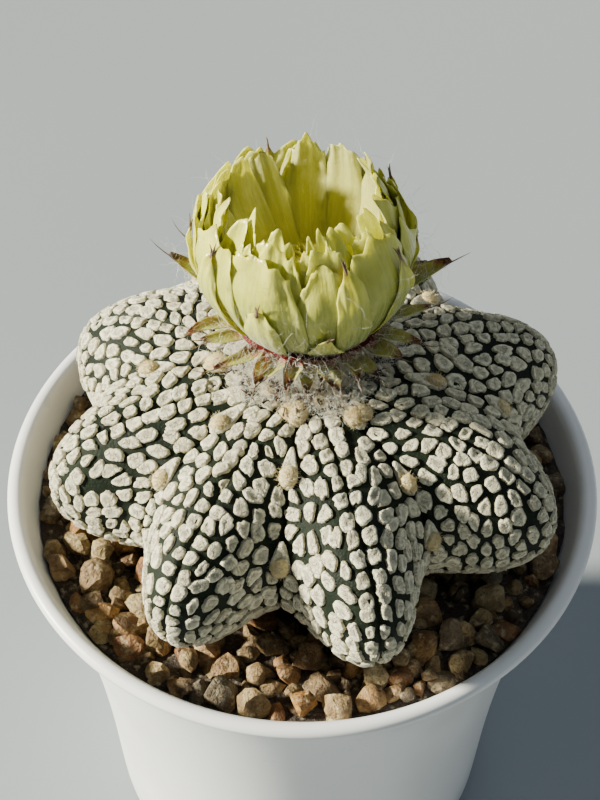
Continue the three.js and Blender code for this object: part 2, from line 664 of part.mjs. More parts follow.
function flowerPetals() {
  const outside = CUP_STOPS.map((stop) => {
    const { x, y } = cupCurve.getPoint(stop)
    return [x - CUP_INSET, FLOWER_Z + y]
  })
  const lip = outside.at(-1)
  const inside = outside.slice(1).map(([radius, z]) => [radius - CUP_WALL, z]).reverse()
  const bottom = TUBE_TOP_Z + CLEARANCE
  const cup = turned([
    [0, bottom],
    [outside[0][0], bottom],
    ...outside.slice(1),
    [lip[0] - CUP_WALL / 2, lip[1] + CUP_LIP],
    ...inside,
    [outside[0][0] - CUP_WALL, FLOOR_Z],
    [0, FLOOR_Z],
  ], CUP_SEGMENTS, FLOWER_AXIS)
  const petals = PETAL_LAYERS.flatMap((layer) => Array.from({ length: layer.count }, (_, i) => {
    const azimuth = ((i + layer.phase + spread(0.1)) / layer.count) * Math.PI * 2
    return petal(layer, azimuth, 1 + spread(0.05))
  }))
  return fuse([cup, ...petals])
}

const STAMEN_FOOT_Z = FLOOR_Z + CLEARANCE

function stamens() {
  const base = turned([
    [STAMEN_RING.inner, STAMEN_FOOT_Z],
    [STAMEN_RING.outer, STAMEN_FOOT_Z],
    [STAMEN_RING.outer, STAMEN_FOOT_Z + STAMEN_RING.height],
    [STAMEN_RING.inner, STAMEN_FOOT_Z + STAMEN_RING.height],
  ], STAMEN_RING.segments, FLOWER_AXIS)
  const threads = Array.from({ length: STAMEN_COUNT }, (_, i) => {
    const row = STAMEN_ROWS[i % STAMEN_ROWS.length]
    const azimuth = (i / STAMEN_COUNT) * Math.PI * 2 + spread(0.08)
    const foot = aroundFlower(row.foot, azimuth, STAMEN_FOOT_Z + STAMEN_RING.height / 3)
    const tip = aroundFlower(row.tip, azimuth + spread(0.1), STAMEN_FOOT_Z + row.height + spread(0.5))
    const anther = new THREE.OctahedronGeometry(1, 0)
    anther.scale(ANTHER.radius, ANTHER.radius, ANTHER.halfLength)
    anther.translate(tip.x, tip.y, tip.z)
    return fuse([thread(foot, tip, THREAD_RADIUS), toSolid(anther)])
  })
  return fuse([base, ...threads])
}

// Three-sided thread of one radius
function thread(foot, tip, radius) {
  const axis = tip.clone().sub(foot).normalize()
  const side = new THREE.Vector3(0, 1, 0).cross(axis).normalize()
  const up = axis.clone().cross(side)
  const ringAt = (end) => [0, 1, 2].map((i) => {
    const turn = (i / 3) * Math.PI * 2
    return end.clone()
      .addScaledVector(side, radius * Math.cos(turn))
      .addScaledVector(up, radius * Math.sin(turn))
  })
  return lofted([ringAt(foot), ringAt(tip)], foot, tip)
}

function pistil() {
  const top = STAMEN_FOOT_Z + STYLE.height
  const style = turned([
    [0, STAMEN_FOOT_Z],
    [STYLE.footRadius, STAMEN_FOOT_Z],
    [STYLE.radius, STAMEN_FOOT_Z + STYLE.footRadius],
    [STYLE.topRadius, top],
    [0, top + 0.5],
  ], STYLE.segments, FLOWER_AXIS)
  const lobes = Array.from({ length: LOBE.count }, (_, i) => {
    const azimuth = (i / LOBE.count) * Math.PI * 2
    const root = aroundFlower(LOBE.root, azimuth, top - LOBE.sink)
    const tip = aroundFlower(LOBE.reach, azimuth, top + LOBE.rise)
    return spike(root, tip, LOBE.halfWidth, LOBE.halfThickness)
  })
  return fuse([style, ...lobes])
}

// Materials and the finished group

const material = (color, roughness) => new THREE.MeshStandardMaterial({ color, roughness })

const pieces = [
  ['pot', pot, material(0xeef0f1, 0.35)],
  ['potting_mix', pottingMix, material(0x4a3828, 0.95)],
  ['gravel', gravel, material(0xa58463, 0.9)],
  ['cactus_body', cactusBody, material(0x8f9484, 0.8)],
  ['crown_wool', crownWool, material(0xdcd5c6, 1)],
  ['flower_tube', flowerTube, material(0x8c8a4a, 0.7)],
  ['flower_petals', flowerPetals, material(0xdddc8c, 0.55)],
  ['stamens', stamens, material(0xe3c84a, 0.7)],
  ['pistil', pistil, material(0xe6da7c, 0.6)],
]

// Each piece draws its numbers from a stream of its own
const pottedStarCactus = new THREE.Group()
pieces.forEach(([name, shape, finish], i) => {
  random = seededRandom(SEED + i)
  const mesh = new THREE.Mesh(toGeometry(shape()), finish)
  mesh.name = name
  pottedStarCactus.add(mesh)
})

export default pottedStarCactus
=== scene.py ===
# Potted star cactus in flower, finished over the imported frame
import math

import bmesh
import bpy
import numpy as np
from mathutils import Matrix, Vector


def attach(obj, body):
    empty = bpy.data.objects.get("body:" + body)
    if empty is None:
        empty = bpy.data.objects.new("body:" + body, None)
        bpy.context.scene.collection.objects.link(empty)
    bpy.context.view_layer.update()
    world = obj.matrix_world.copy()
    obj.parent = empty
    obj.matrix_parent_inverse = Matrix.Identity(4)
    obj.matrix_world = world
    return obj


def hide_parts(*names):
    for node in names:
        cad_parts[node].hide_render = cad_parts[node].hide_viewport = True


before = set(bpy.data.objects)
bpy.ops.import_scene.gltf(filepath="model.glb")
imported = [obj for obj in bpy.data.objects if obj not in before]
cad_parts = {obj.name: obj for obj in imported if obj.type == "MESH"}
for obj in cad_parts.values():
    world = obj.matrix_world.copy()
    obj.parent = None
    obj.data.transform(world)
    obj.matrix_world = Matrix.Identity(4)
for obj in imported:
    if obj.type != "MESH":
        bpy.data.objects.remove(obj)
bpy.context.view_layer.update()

# Sizes and places are in millimetres here, and become metres when a mesh is made
MM = 0.001
UP = np.array([0.0, 0.0, 1.0])

# Pot, as [radius, height]: its foot, outer wall, rolled lip, inner wall and floor
POT_HEIGHT = 80
FOOT = [[6, 2], [24.4, 2], [24.75, 1.7], [25, 0.25], [25.3, 0], [31.3, 0], [31.7, 0.15], [32.4, 0.8]]
OUTER_WALL = [[32.6, 1.4], [33, 5], [34, 24], [35.6, 42], [38.2, 60], [40.4, 70], [43, 77]]
LIP = [
    [44.3, 77.9], [44.95, 78.6], [44.98, 79.2], [44.6, 79.75], [43.95, 80], [43.2, 79.9], [42.65, 79.4],
    [42.2, 78.4],
]
INNER_WALL = [[41.8, 77], [39.2, 70], [37, 60], [34.4, 42], [31.9, 6]]
INNER_FOOT = [[31.6, 4.4], [31, 3.5], [30, 3.2], [6, 3.2]]
WALL_STEPS = 6
POT_SEGMENTS = 160
TURNING_RADIUS = 38
DRAIN = {"radius": 2.5, "circle": 16, "count": 6, "depth": 12}

# Gravel: its reach, the hole for the neck, the bed under the stones and how far it dips under the body
GRAVEL_REACH = 40.7
HOLE_RADIUS = 10.35
BED_TOP, BED_BOTTOM = 74.6, 66.35
BED_DIP, BED_ROUGHNESS = 1.6, 0.25
WALL_GAP = 0.35

# Shapes of stones: how many, the cuts on each, how near its middle they come, its stretch, and the
# angle in degrees at which an edge stays sharp
STONE = {"shapes": 9, "cuts": 11, "cut level": (0.24, 0.42), "stretch": (0.62, 1.2), "crease": 34}

# Two layers of stones: lift over the bed, size from and to, spacing and density
STONE_LAYERS = [(0.0, (2.8, 5.4), 2.5, 0.3), (1.1, (3.2, 7.0), 3.5, 0.2)]

# Star-shaped body, with the same values as its solid; the taproot as [radius, depth under the neck]
BODY_CENTRE = np.array([0.0, -1.2])
WAIST_Z = POT_HEIGHT + 10.9
DOME_HEIGHT, BELLY_DEPTH = 14.7, 14.9
DOME_ACROSS, DOME_UP = 3.08, 2.24
BELLY_ACROSS, BELLY_UP = 3.0, 2.1
ARM_SHARPNESS = 2.25
NECK_RADIUS = 10
NECK_START, NECK_END = 0.62, 0.36
NECK_TOP = WAIST_Z - BELLY_DEPTH
TAPROOT = [[10, 3.4], [9.4, 8], [7, 20], [4, 30], [1.6, 37]]
BODY_COLUMNS, DOME_ROWS, BELLY_ROWS = 18, 62, 34

# Arms, anticlockwise from the right: azimuth of the crest, reach of the tip, and reach of the
# furrow that follows it
ARMS = np.array([
    [20.3, 40.4, 31.4],
    [65.3, 37.8, 28.8],
    [99.4, 38.8, 31.6],
    [153.1, 37.8, 30.9],
    [196.4, 37.6, 29.0],
    [241.2, 38.8, 27.8],
    [286.1, 38.8, 28.2],
    [333.9, 39.3, 31.6],
])
ARM_COUNT = len(ARMS)

# Seams: a fine groove on each crest and a deeper one in each furrow
SEAM = {"crest depth": 0.6, "furrow depth": 0.8, "half width": 0.42, "gap": 0.34}

# White flecks: spacing across and along an arm, the room that each keeps free, the gap between two,
# the turn of their length, their ragged outline, their relief, and the shares of their width left at
# each step of it
FLECK = {
    "across": 2.1, "along": 2.95, "room": (0.72, 1.02), "pair room": 0.6, "clearance": 0.85, "gap": 0.5,
    "largest": 0.64, "turn": 0.6, "corners": 18, "scallop": 0.045, "ragged": 0.035, "nick": (0.08, 0.22),
    "swell": 1.06, "sink": 0.15, "height": 0.42, "dip": 0.15, "wrinkle": 0.26, "wrinkle size": 0.9,
    "shoulder": 0.93, "rim": 0.8, "middle": 0.42,
}

# Where flecks start round the flower and how low they reach, and the share of them that touch another
FLECK_FIRST_RADIUS = 6.3
FLECK_LOWEST_Z = POT_HEIGHT + 0.4
FLECK_SLOPES = (0.04, 2.4)
FLECK_TRIES = 26000
CHAIN_SHARE = 0.25

# Areoles: for each furrow, how far out along it each one sits as a share of its reach, and those
# round the flower by their place and radius
AREOLES = {
    0.5: (0.45, 0.8), 1.5: (0.36, 0.66, 0.95), 2.5: (0.5, 0.85), 3.5: (0.40, 0.72),
    4.5: (0.51, 0.86), 5.5: (0.29, 0.64, 0.97), 6.5: (0.39, 0.79, 0.985), 7.5: (0.59, 0.90),
}
CROWN_AREOLES = [
    (-4.9, -5.1, 1.3), (-1.6, -9.0, 1.4), (8.1, -9.1, 1.35), (2.4, -7.2, 1.1), (9.5, 3.0, 1.2),
    (-7.5, 2.5, 1.2), (19.1, 16.0, 0.8),
]

# Each areole is a felt ball with a white tail behind it; the outline is in shares of the tail's size
AREOLE = {"radius": 1.3, "pad": 1.6, "tail": 4.3, "lift": 0.45, "flatness": 0.78}
TAIL_OUTLINE = [
    (-1.0, 0.0), (-0.8, 0.6), (-0.3, 0.94), (0.08, 1.0), (0.3, 0.86), (0.55, 0.62), (0.82, 0.42),
    (0.98, 0.16), (0.95, -0.14), (0.75, -0.4), (0.5, -0.64), (0.25, -0.84), (0.08, -0.96), (-0.3, -1.0),
    (-0.8, -0.55),
]

# Flower: its axis, the height of its globe's middle, the tube under it and the globe's outline
FLOWER_AXIS = np.array([0.4, 2.0])
FLOWER_Z = POT_HEIGHT + 47.2
TUBE_FOOT_RADIUS, TUBE_TOP_RADIUS = 4.3, 11.5
TUBE_TOP_Z = FLOWER_Z - 9.9
TUBE_CURVE = 1.5
GLOBE = [
    [10.9, -9.6], [12.8, -7.0], [14.5, -2.8], [15.2, 1.4], [14.5, 5], [12.8, 8.2], [10.6, 10.8],
    [9.0, 13],
]
PETAL_THICKNESS = 0.22

# Layers of petals from the inside out: how many and where they start, the heights of their roots
# and tips, how far the tips vary, how much lower they are at the back, their half width, and where
# they stand at root and tip: the share of the way from the flower's throat out to its globe
PETAL_LAYERS = [
    {"count": 13, "turn": 0.15, "root": -8.6, "tip": 11.6, "spread": 1.2, "drop": 0.6,
     "half width": 3.4, "stand": (0.05, 0.57)},
    {"count": 14, "turn": 0.6, "root": -8.9, "tip": 10.9, "spread": 1.3, "drop": 1.4,
     "half width": 3.6, "stand": (0.4, 0.7)},
    {"count": 13, "turn": 0.3, "root": -9.2, "tip": 9.8, "spread": 1.4, "drop": 2.0,
     "half width": 4.3, "stand": (0.7, 0.82)},
    {"count": 10, "turn": 0.75, "root": -9.5, "tip": 8.4, "spread": 1.3, "drop": 2.3,
     "half width": 6.2, "stand": (0.9, 0.93)},
]
THROAT = [[6.3, -9.6], [6.7, -5.0], [7.4, 2.0], [7.9, 8.0], [8.0, 13.0]]
PETAL_ROWS, PETAL_COLUMNS = 24, 17
PETAL_OVERLAP = 0.2

# The flower leans a little to the left, its front tips stay below a level, and those at the back
# left are lower than the rest
FLOWER_TILT = 0.06
FRONT_LIP = 11.4
BACK_DROP, BACK_AZIMUTH = 2.7, math.radians(122)

# Narrow outermost petals with brown tips: azimuth in degrees, height of the tip and half width
SEPALS = [
    (246, 2.5, 2.9), (282, -1.5, 2.7), (298, 7.6, 2.4), (214, 6.4, 2.5), (330, 5.4, 2.6), (10, 0.5, 2.6),
    (40, 4.0, 2.6), (75, 1.0, 2.7), (110, 4.5, 2.5), (145, 0.0, 2.7), (180, 3.0, 2.6),
]
SEPAL_LAYER = {"root": -9.9, "spread": 0.0, "drop": 0.0, "stand": (1.0, 1.0)}

# Scales round the tube: azimuth in degrees, share of the tube's height, length, rise of the
# tip, half width. These are seen in the photo, and the rows after them fill the rest.
SEEN_SCALES = [
    (172, 0.90, 8.8, 6.4, 1.35), (160, 0.93, 6.8, 6.8, 1.1), (8, 0.90, 9.0, 6.2, 1.15),
    (20, 0.88, 7.2, 4.4, 1.0), (352, 0.80, 8.8, 1.6, 1.3), (335, 0.76, 7.6, 0.4, 1.1),
    (344, 0.66, 6.0, -0.6, 1.1), (205, 0.78, 8.0, 1.0, 1.1), (221, 0.70, 7.2, -1.0, 1.0),
    (187, 0.74, 8.6, -0.8, 1.1), (196, 0.66, 6.6, -1.6, 1.0), (236, 0.78, 5.6, -1.4, 0.9),
    (246, 0.82, 4.8, -1.8, 1.1), (255, 0.76, 4.6, -2.4, 0.9), (263, 0.83, 4.4, -2.0, 1.1),
    (272, 0.78, 4.0, -2.6, 0.9), (281, 0.83, 4.6, -2.2, 1.05), (290, 0.76, 4.8, -2.4, 0.9),
    (299, 0.82, 5.2, -1.7, 1.1), (310, 0.76, 5.6, -1.6, 1.0), (321, 0.80, 6.4, -1.0, 1.2),
]
SCALE_ROWS = [
    {"count": 11, "arc": (0, 360), "height": 0.6, "length": 4.2, "rise": -1.2, "half width": 1.0},
    {"count": 7, "arc": (30, 150), "height": 0.80, "length": 6.0, "rise": 0.8, "half width": 1.2},
    {"count": 5, "arc": (35, 145), "height": 0.90, "length": 6.6, "rise": 5.0, "half width": 1.3},
]

# Slim cup that the petals grow from, and the floor that the stamens and the pistil stand on
CUP_RADIUS, CUP_WALL = 7.2, 0.6
CUP_FOOT, CUP_FLOOR, CUP_EDGE = -9.5, -8.6, -6.5
STAMEN_FLOOR = FLOWER_Z - 8.5 + 0.35

# Ring under the stamens, the band of it that they stand on, the pistil and one of its lobes, as
# [radius, height over that floor, or over the lobes' foot]
STAMEN_RING = [[2.1, 0], [5.7, 0], [5.75, 0.6], [5.2, 1.1], [3.4, 0.9], [2.1, 0.7], [2.1, 0]]
STAMEN_BAND = [[5.3, 0.1], [3.0, 0.85]]
PISTIL = [[1.5, 0], [1.35, 0.6], [0.95, 1.6], [0.82, 3.4], [0.85, 5.4], [0.7, 5.9]]
PISTIL_HEIGHT = 6.1
LOBE = [[0.3, -0.3], [1.0, 0.7], [1.8, 1.05], [2.3, 0.7]]
LOBE_COUNT, LOBE_FOOT = 7, 5.7


# Meshes

class Shell:
    """Collects the surfaces that make one piece, with named numbers for each point"""

    def __init__(self, *names):
        self.points = []
        self.faces = []
        self.count = 0
        self.numbers = {name: [] for name in names}

    def add_points(self, points, **numbers):
        points = np.asarray(points, float).reshape(-1, 3)
        self.points.append(points)
        for name, kept in self.numbers.items():
            values = np.asarray(numbers.get(name, 0.0), float).reshape(-1)
            kept.append(np.broadcast_to(values, len(points)))
        self.count += len(points)
        return np.arange(self.count - len(points), self.count)

    def add_faces(self, faces):
        self.faces += [list(map(int, face)) for face in faces]

    def add_grid(self, grid, ring=False, **numbers):
        """Surface over rows of points that run upward; a ring joins each row's end to its start"""
        rows, columns = grid.shape[:2]
        index = self.add_points(grid, **numbers).reshape(rows, columns)
        here, after = (index, np.roll(index, -1, 1)) if ring else (index[:, :-1], index[:, 1:])
        quads = np.stack([here[:-1], after[:-1], after[1:], here[1:]], -1)
        self.add_faces(quads.reshape(-1, 4))
        return index

    def add_pole(self, row, point, top, **numbers):
        """Closes a ring of points with a fan to one point"""
        pole = self.add_points(point, **numbers)[0]
        after = np.roll(row, -1)
        self.add_faces([(a, b, pole) if top else (b, a, pole) for a, b in zip(row, after)])

    def close_rows(self, index):
        """Joins the last row of a ring surface to its first"""
        last, first = index[-1], index[0]
        self.add_faces(np.stack([last, np.roll(last, -1), np.roll(first, -1), first], -1))

    def add_blade(self, outer, inner, **numbers):
        """Closed thin blade between its outer and inner faces, rows from root to tip"""
        ring = np.concatenate([outer, inner[:, ::-1]], 1)
        index = self.add_grid(ring, ring=True, **numbers)
        for row, is_tip in ((index[0], False), (index[-1], True)):
            for j in range(outer.shape[1] - 1):
                end = [row[j], row[-1 - j], row[-2 - j], row[j + 1]]
                self.add_faces([end[::-1] if is_tip else end])

    def make(self, name, finish=None):
        mesh = bpy.data.meshes.new(name)
        mesh.from_pydata((np.concatenate(self.points) * MM).tolist(), [], self.faces)
        mesh.polygons.foreach_set("use_smooth", [True] * len(mesh.polygons))
        for number, values in self.numbers.items():
            layer = mesh.attributes.new(number, "FLOAT", "POINT")
            layer.data.foreach_set("value", np.concatenate(values))
        if finish:
            mesh.materials.append(finish)
        mesh.update()
        return add_object(name, mesh)


def add_object(name, mesh):
    piece = bpy.data.objects.new(name, mesh)
    bpy.context.scene.collection.objects.link(piece)
    return piece


def turns_of(count):
    """Angles that divide a full turn evenly"""
    return np.linspace(0, 2 * np.pi, count, endpoint=False)


def smooth_path(points, steps):
    """Points along a smooth curve through the given ones, with a number of steps to each next one"""
    points = np.asarray(points, float)
    points = np.vstack([2 * points[0] - points[1], points, 2 * points[-1] - points[-2]])
    share = np.linspace(0, 1, steps, endpoint=False)[:, None]
    parts = []
    for a, b, c, d in zip(points[:-3], points[1:-2], points[2:-1], points[3:]):
        curve = 2 * b + (c - a) * share + (2 * a - 5 * b + 4 * c - d) * share**2
        parts.append((curve + (3 * b - 3 * c + d - a) * share**3) / 2)
    return np.vstack([*parts, points[-2][None]])


def unit(vectors):
    return vectors / np.maximum(np.linalg.norm(vectors, axis=-1, keepdims=True), 1e-9)


def smooth_step(low, high, value):
    share = np.clip((value - low) / (high - low), 0, 1)
    return share * share * (3 - 2 * share)


def bell(value, width):
    """Soft ridge of height 1 in the middle of a value's range"""
    return np.exp(-((value / width) ** 2))


def travel_along(line):
    """Length of a line up to each of its points"""
    return np.concatenate([[0], np.cumsum(np.linalg.norm(np.diff(line, axis=0), axis=1))])


def radius_on(outline, height):
    """Radius at a height on an outline that runs upward as [radius, height]"""
    outline = np.asarray(outline, float)
    return np.interp(height, outline[:, 1], outline[:, 0])


# Trees of nodes

def add_node(tree, kind, wires=None, **settings):
    """Adds a node; wires gives a value or another node's output for each named input"""
    node = tree.nodes.new(kind)
    for name, value in settings.items():
        setattr(node, name, value)
    for socket, value in (wires or {}).items():
        if isinstance(value, bpy.types.NodeSocket):
            tree.links.new(value, node.inputs[socket])
        else:
            node.inputs[socket].default_value = value
    return node


def calculate(tree, first, second, operation="MULTIPLY"):
    return add_node(tree, "ShaderNodeMath", {0: first, 1: second}, operation=operation).outputs[0]


def vary(tree, low, high, seed):
    """Number drawn between two others, anew for each element"""
    wires = {2: low, 3: high, "Seed": seed}
    return add_node(tree, "FunctionNodeRandomValue", wires, data_type="FLOAT").outputs[1]


def keep_number(tree, geometry, name, value, domain):
    """Stores a number by name, for a finish to read"""
    kept = add_node(tree, "GeometryNodeStoreNamedAttribute", {
        "Geometry": geometry, "Name": name, "Value": value}, data_type="FLOAT", domain=domain)
    return kept.outputs[0]


def new_tree(name, **inputs):
    """Geometry tree with named inputs; returns it and its inputs by name"""
    tree = bpy.data.node_groups.new(name, "GeometryNodeTree")
    tree.interface.new_socket("Geometry", in_out="OUTPUT", socket_type="NodeSocketGeometry")
    for label, kind in {"surface": "Geometry", **inputs}.items():
        tree.interface.new_socket(label, in_out="INPUT", socket_type="NodeSocket" + kind)
    return tree, tree.nodes.new("NodeGroupInput").outputs


def end_tree(tree, geometry, finish):
    """Realizes what a tree has made, gives it its finish and sends it out"""
    real = add_node(tree, "GeometryNodeRealizeInstances", {"Geometry": geometry})
    coated = add_node(tree, "GeometryNodeSetMaterial", {"Geometry": real.outputs[0], "Material": finish})
    out = tree.nodes.new("NodeGroupOutput")
    tree.links.new(coated.outputs[0], out.inputs[0])


def grow(name, host, tree, **inputs):
    """Runs a tree on a host object and keeps the result as a plain mesh in the host's place"""
    modifier = host.modifiers.new(tree.name, "NODES")
    modifier.node_group = tree
    for socket in tree.interface.items_tree:
        if socket.in_out == "INPUT" and socket.name in inputs:
            modifier[socket.identifier] = inputs[socket.name]
    graph = bpy.context.evaluated_depsgraph_get()
    mesh = bpy.data.meshes.new_from_object(
        host.evaluated_get(graph), preserve_all_data_layers=True, depsgraph=graph)
    host.modifiers.remove(modifier)
    bpy.data.objects.remove(host)
    mesh.name = name
    return add_object(name, mesh)


def join(name, *objects):
    """One object from several, which keeps their finishes and their named numbers"""
    with bpy.context.temp_override(
            active_object=objects[0], object=objects[0],
            selected_objects=objects, selected_editable_objects=objects):
        bpy.ops.object.join()
    objects[0].name = objects[0].data.name = name
    return objects[0]


# The star-shaped body's surface

# Small step in phase or slope, to find which way the surface runs
NUDGE = 0.004


def arms_around(phase):
    """The arm before a phase, the arm after it and the share of the way between them"""
    wrapped = np.mod(phase, ARM_COUNT)
    first = np.minimum(np.floor(wrapped).astype(int), ARM_COUNT - 1)
    return ARMS[first], ARMS[(first + 1) % ARM_COUNT], wrapped - first


def azimuth_at(phase):
    """A whole phase is an arm's crest and a half is the furrow after it"""
    first, after, share = arms_around(phase)
    return np.radians(first[..., 0] + np.mod(after[..., 0] - first[..., 0], 360) * share)


def reach_at(phase):
    """How far out the body comes, from furrow to crest"""
    first, after, share = arms_around(phase)
    tip = np.where(share < 0.5, first[..., 1], after[..., 1])
    return first[..., 2] + (tip - first[..., 2]) * np.abs(np.cos(np.pi * share)) ** ARM_SHARPNESS


def phase_at(azimuth):
    """Phase of the body's surface in a direction"""
    degrees = math.degrees(azimuth)
    for arm in range(ARM_COUNT):
        turn = (ARMS[(arm + 1) % ARM_COUNT][0] - ARMS[arm][0]) % 360
        past = (degrees - ARMS[arm][0]) % 360
        if past < turn:
            return arm + past / turn
    return 0.0


def from_middle(x, y):
    """How far a place is from the body's middle, and how far out the body comes in that direction"""
    dx, dy = x - BODY_CENTRE[0], y - BODY_CENTRE[1]
    return math.hypot(dx, dy), float(reach_at(phase_at(math.atan2(dy, dx))))


def around(middle, radius, azimuth, z):
    """Places round an upright axis"""
    radius, azimuth, z = np.broadcast_arrays(radius, azimuth, z)
    return np.stack([middle[0] + radius * np.cos(azimuth), middle[1] + radius * np.sin(azimuth), z], -1)


def around_flower(radius, azimuth, z):
    return around(FLOWER_AXIS, radius, azimuth, z)


def body_point(phase, slope):
    """Slope runs from 0 at the crown through 90 degrees at the waist to 180 under the body"""
    phase, slope = np.broadcast_arrays(np.asarray(phase, float), np.asarray(slope, float))
    under = slope > np.pi / 2
    across = np.where(under, BELLY_ACROSS, DOME_ACROSS)
    up = np.where(under, BELLY_UP, DOME_UP)
    share = np.abs(np.sin(slope)) ** (2 / across)
    blend = np.where(under, smooth_step(-NECK_START, -NECK_END, -share), 0)
    reach = (reach_at(phase) * (1 - blend) + NECK_RADIUS / NECK_END * blend) * share
    rise = np.sign(np.cos(slope)) * np.abs(np.cos(slope)) ** (2 / up)
    z = WAIST_Z + rise * np.where(under, BELLY_DEPTH, DOME_HEIGHT)
    return around(BODY_CENTRE, reach, azimuth_at(phase), z)


def body_frame(phase, slope):
    """Point, outward normal and the direction away from the crown"""
    along = unit(body_point(phase, slope + NUDGE) - body_point(phase, slope - NUDGE))
    across = unit(body_point(phase + NUDGE, slope) - body_point(phase - NUDGE, slope))
    return body_point(phase, slope), unit(np.cross(along, across)), along


def skin_point(phase, slope, lift=0.0):
    """Point of the skin with its seams let in, or a point lifted off it by a height"""
    phase, slope = np.broadcast_arrays(np.asarray(phase, float), np.asarray(slope, float))
    point, normal, _ = body_frame(phase, slope)
    nearest = np.round(phase * 2) / 2
    radius = np.linalg.norm(point[..., :2] - BODY_CENTRE, axis=-1)
    distance = np.abs(phase - nearest) * radius * 2 * np.pi / ARM_COUNT
    is_furrow = np.abs(nearest - np.round(nearest)) > 0.25
    depth = np.where(is_furrow, SEAM["furrow depth"], SEAM["crest depth"])
    depth = depth * bell(distance, SEAM["half width"]) * np.clip(radius / 8 - 0.6, 0, 1)
    return point + normal * (lift - depth)[..., None]


def slope_of_share(share):
    """Slope at which the dome has come out to a share of its reach"""
    return math.asin(share ** (DOME_ACROSS / 2))


def crown_height(x, y):
    """Height of the body's upper surface over a place"""
    distance, reach = from_middle(x, y)
    share = min(1.0, distance / reach)
    return WAIST_Z + DOME_HEIGHT * (1 - share**DOME_ACROSS) ** (1 / DOME_UP)


TUBE_FOOT_Z = crown_height(*FLOWER_AXIS) + 0.35


def turned(outline, foot, segments):
    """Rows of points round the flower's axis, from an outline as [radius, rise over a foot]"""
    outline = np.asarray(outline, float)
    return around_flower(outline[:, :1], turns_of(segments)[None], foot + outline[:, 1:])


def tube_radius(rise):
    """Radius of the flower's tube at a height over its foot"""
    share = np.clip(rise / (TUBE_TOP_Z - TUBE_FOOT_Z), 0, 1)
    return TUBE_FOOT_RADIUS + (TUBE_TOP_RADIUS - TUBE_FOOT_RADIUS) * share**TUBE_CURVE


# Finishes

class Finish:
    """A material on one shader, with short ways to add the patterns that feed it"""

    def __init__(self, name, **constants):
        self.material = bpy.data.materials.new(name)
        self.material.use_nodes = True
        self.tree = self.material.node_tree
        self.shader = self.tree.nodes["Principled BSDF"]
        for label, value in constants.items():
            self.shader.inputs[label.replace("_", " ")].default_value = value
        self.place = add_node(self.tree, "ShaderNodeTexCoord").outputs["Object"]

    def noise(self, size, detail=3.0, roughness=0.55):
        """Cloudy pattern whose patches are about a size in millimetres across"""
        wires = {"Vector": self.place, "Scale": 1 / (size * MM), "Detail": detail, "Roughness": roughness}
        return add_node(self.tree, "ShaderNodeTexNoise", wires).outputs[0]

    def veins(self, across, along, size):
        """Streaks that run along a blade, from its distances across and along it"""
        place = add_node(self.tree, "ShaderNodeCombineXYZ", {"X": across, "Y": along}).outputs[0]
        wires = {"Vector": place, "Scale": 1 / size, "Detail": 3.0, "Roughness": 0.55}
        return add_node(self.tree, "ShaderNodeTexNoise", wires).outputs[0]

    def cells(self, size):
        """Grains about a size in millimetres across, darkest in their middles"""
        wires = {"Vector": self.place, "Scale": 1 / (size * MM)}
        return add_node(self.tree, "ShaderNodeTexVoronoi", wires, feature="F1").outputs["Distance"]

    def number(self, name):
        """One of the numbers that a piece keeps for each of its points"""
        return add_node(self.tree, "ShaderNodeAttribute", attribute_name=name).outputs["Fac"]

    def between(self, value, low, high, to_low=0.0, to_high=1.0):
        """Value taken softly from one range to another"""
        node = add_node(self.tree, "ShaderNodeMapRange", {
            "Value": value, "From Min": low, "From Max": high, "To Min": to_low, "To Max": to_high,
        }, interpolation_type="SMOOTHSTEP")
        return node.outputs[0]

    def ramp(self, value, stops):
        node = add_node(self.tree, "ShaderNodeValToRGB", {"Fac": value})
        elements = node.color_ramp.elements
        while len(elements) < len(stops):
            elements.new(0.5)
        for element, (place, colour) in zip(elements, stops):
            element.position = place
            element.color = (*colour, 1)
        return node.outputs["Color"]

    def mixed(self, share, first, second, way="MIX"):
        node = add_node(self.tree, "ShaderNodeMix", data_type="RGBA", blend_type=way)
        for socket, value in ((0, share), (6, first), (7, second)):
            if isinstance(value, bpy.types.NodeSocket):
                self.tree.links.new(value, node.inputs[socket])
            else:
                node.inputs[socket].default_value = (*value, 1) if isinstance(value, tuple) else value
        return node.outputs[2]

    def times(self, first, second, operation="MULTIPLY"):
        return calculate(self.tree, first, second, operation)

    def feed(self, socket, value):
        self.tree.links.new(value, self.shader.inputs[socket])

    def relief(self, *layers):
        """Bumps from pairs of a pattern and its height in millimetres"""
        normal = None
        for pattern, height in layers:
            wires = {"Height": pattern, "Distance": height * MM, "Strength": 1.0}
            if normal is not None:
                wires["Normal"] = normal
            normal = add_node(self.tree, "ShaderNodeBump", wires).outputs[0]
        self.feed("Normal", normal)
        return self.material


def white_plastic():
    finish = Finish("white_moulded_plastic", IOR=1.49)
    cloud = finish.noise(22, detail=4)
    dust = finish.noise(1.1, detail=5, roughness=0.7)
    finish.feed("Base Color", finish.mixed(
        finish.between(dust, 0.62, 0.8, 0, 0.25),
        finish.ramp(cloud, [(0.3, (0.80, 0.81, 0.82)), (0.7, (0.86, 0.865, 0.87))]),
        (0.66, 0.65, 0.62)))
    finish.feed("Roughness", finish.between(cloud, 0.3, 0.7, 0.27, 0.38))
    return finish.relief((finish.noise(9, detail=2), 0.02), (dust, 0.006))


def potting_mix():
    finish = Finish("crumbly_potting_mix", Roughness=0.95)
    crumbs = finish.cells(1.6)
    finish.feed("Base Color", finish.ramp(
        finish.mixed(0.5, crumbs, finish.noise(2.4, detail=6)),
        [(0.2, (0.035, 0.022, 0.014)), (0.5, (0.10, 0.065, 0.04)), (0.75, (0.2, 0.15, 0.1))]))
    return finish.relief((crumbs, 0.6), (finish.noise(0.5), 0.15))


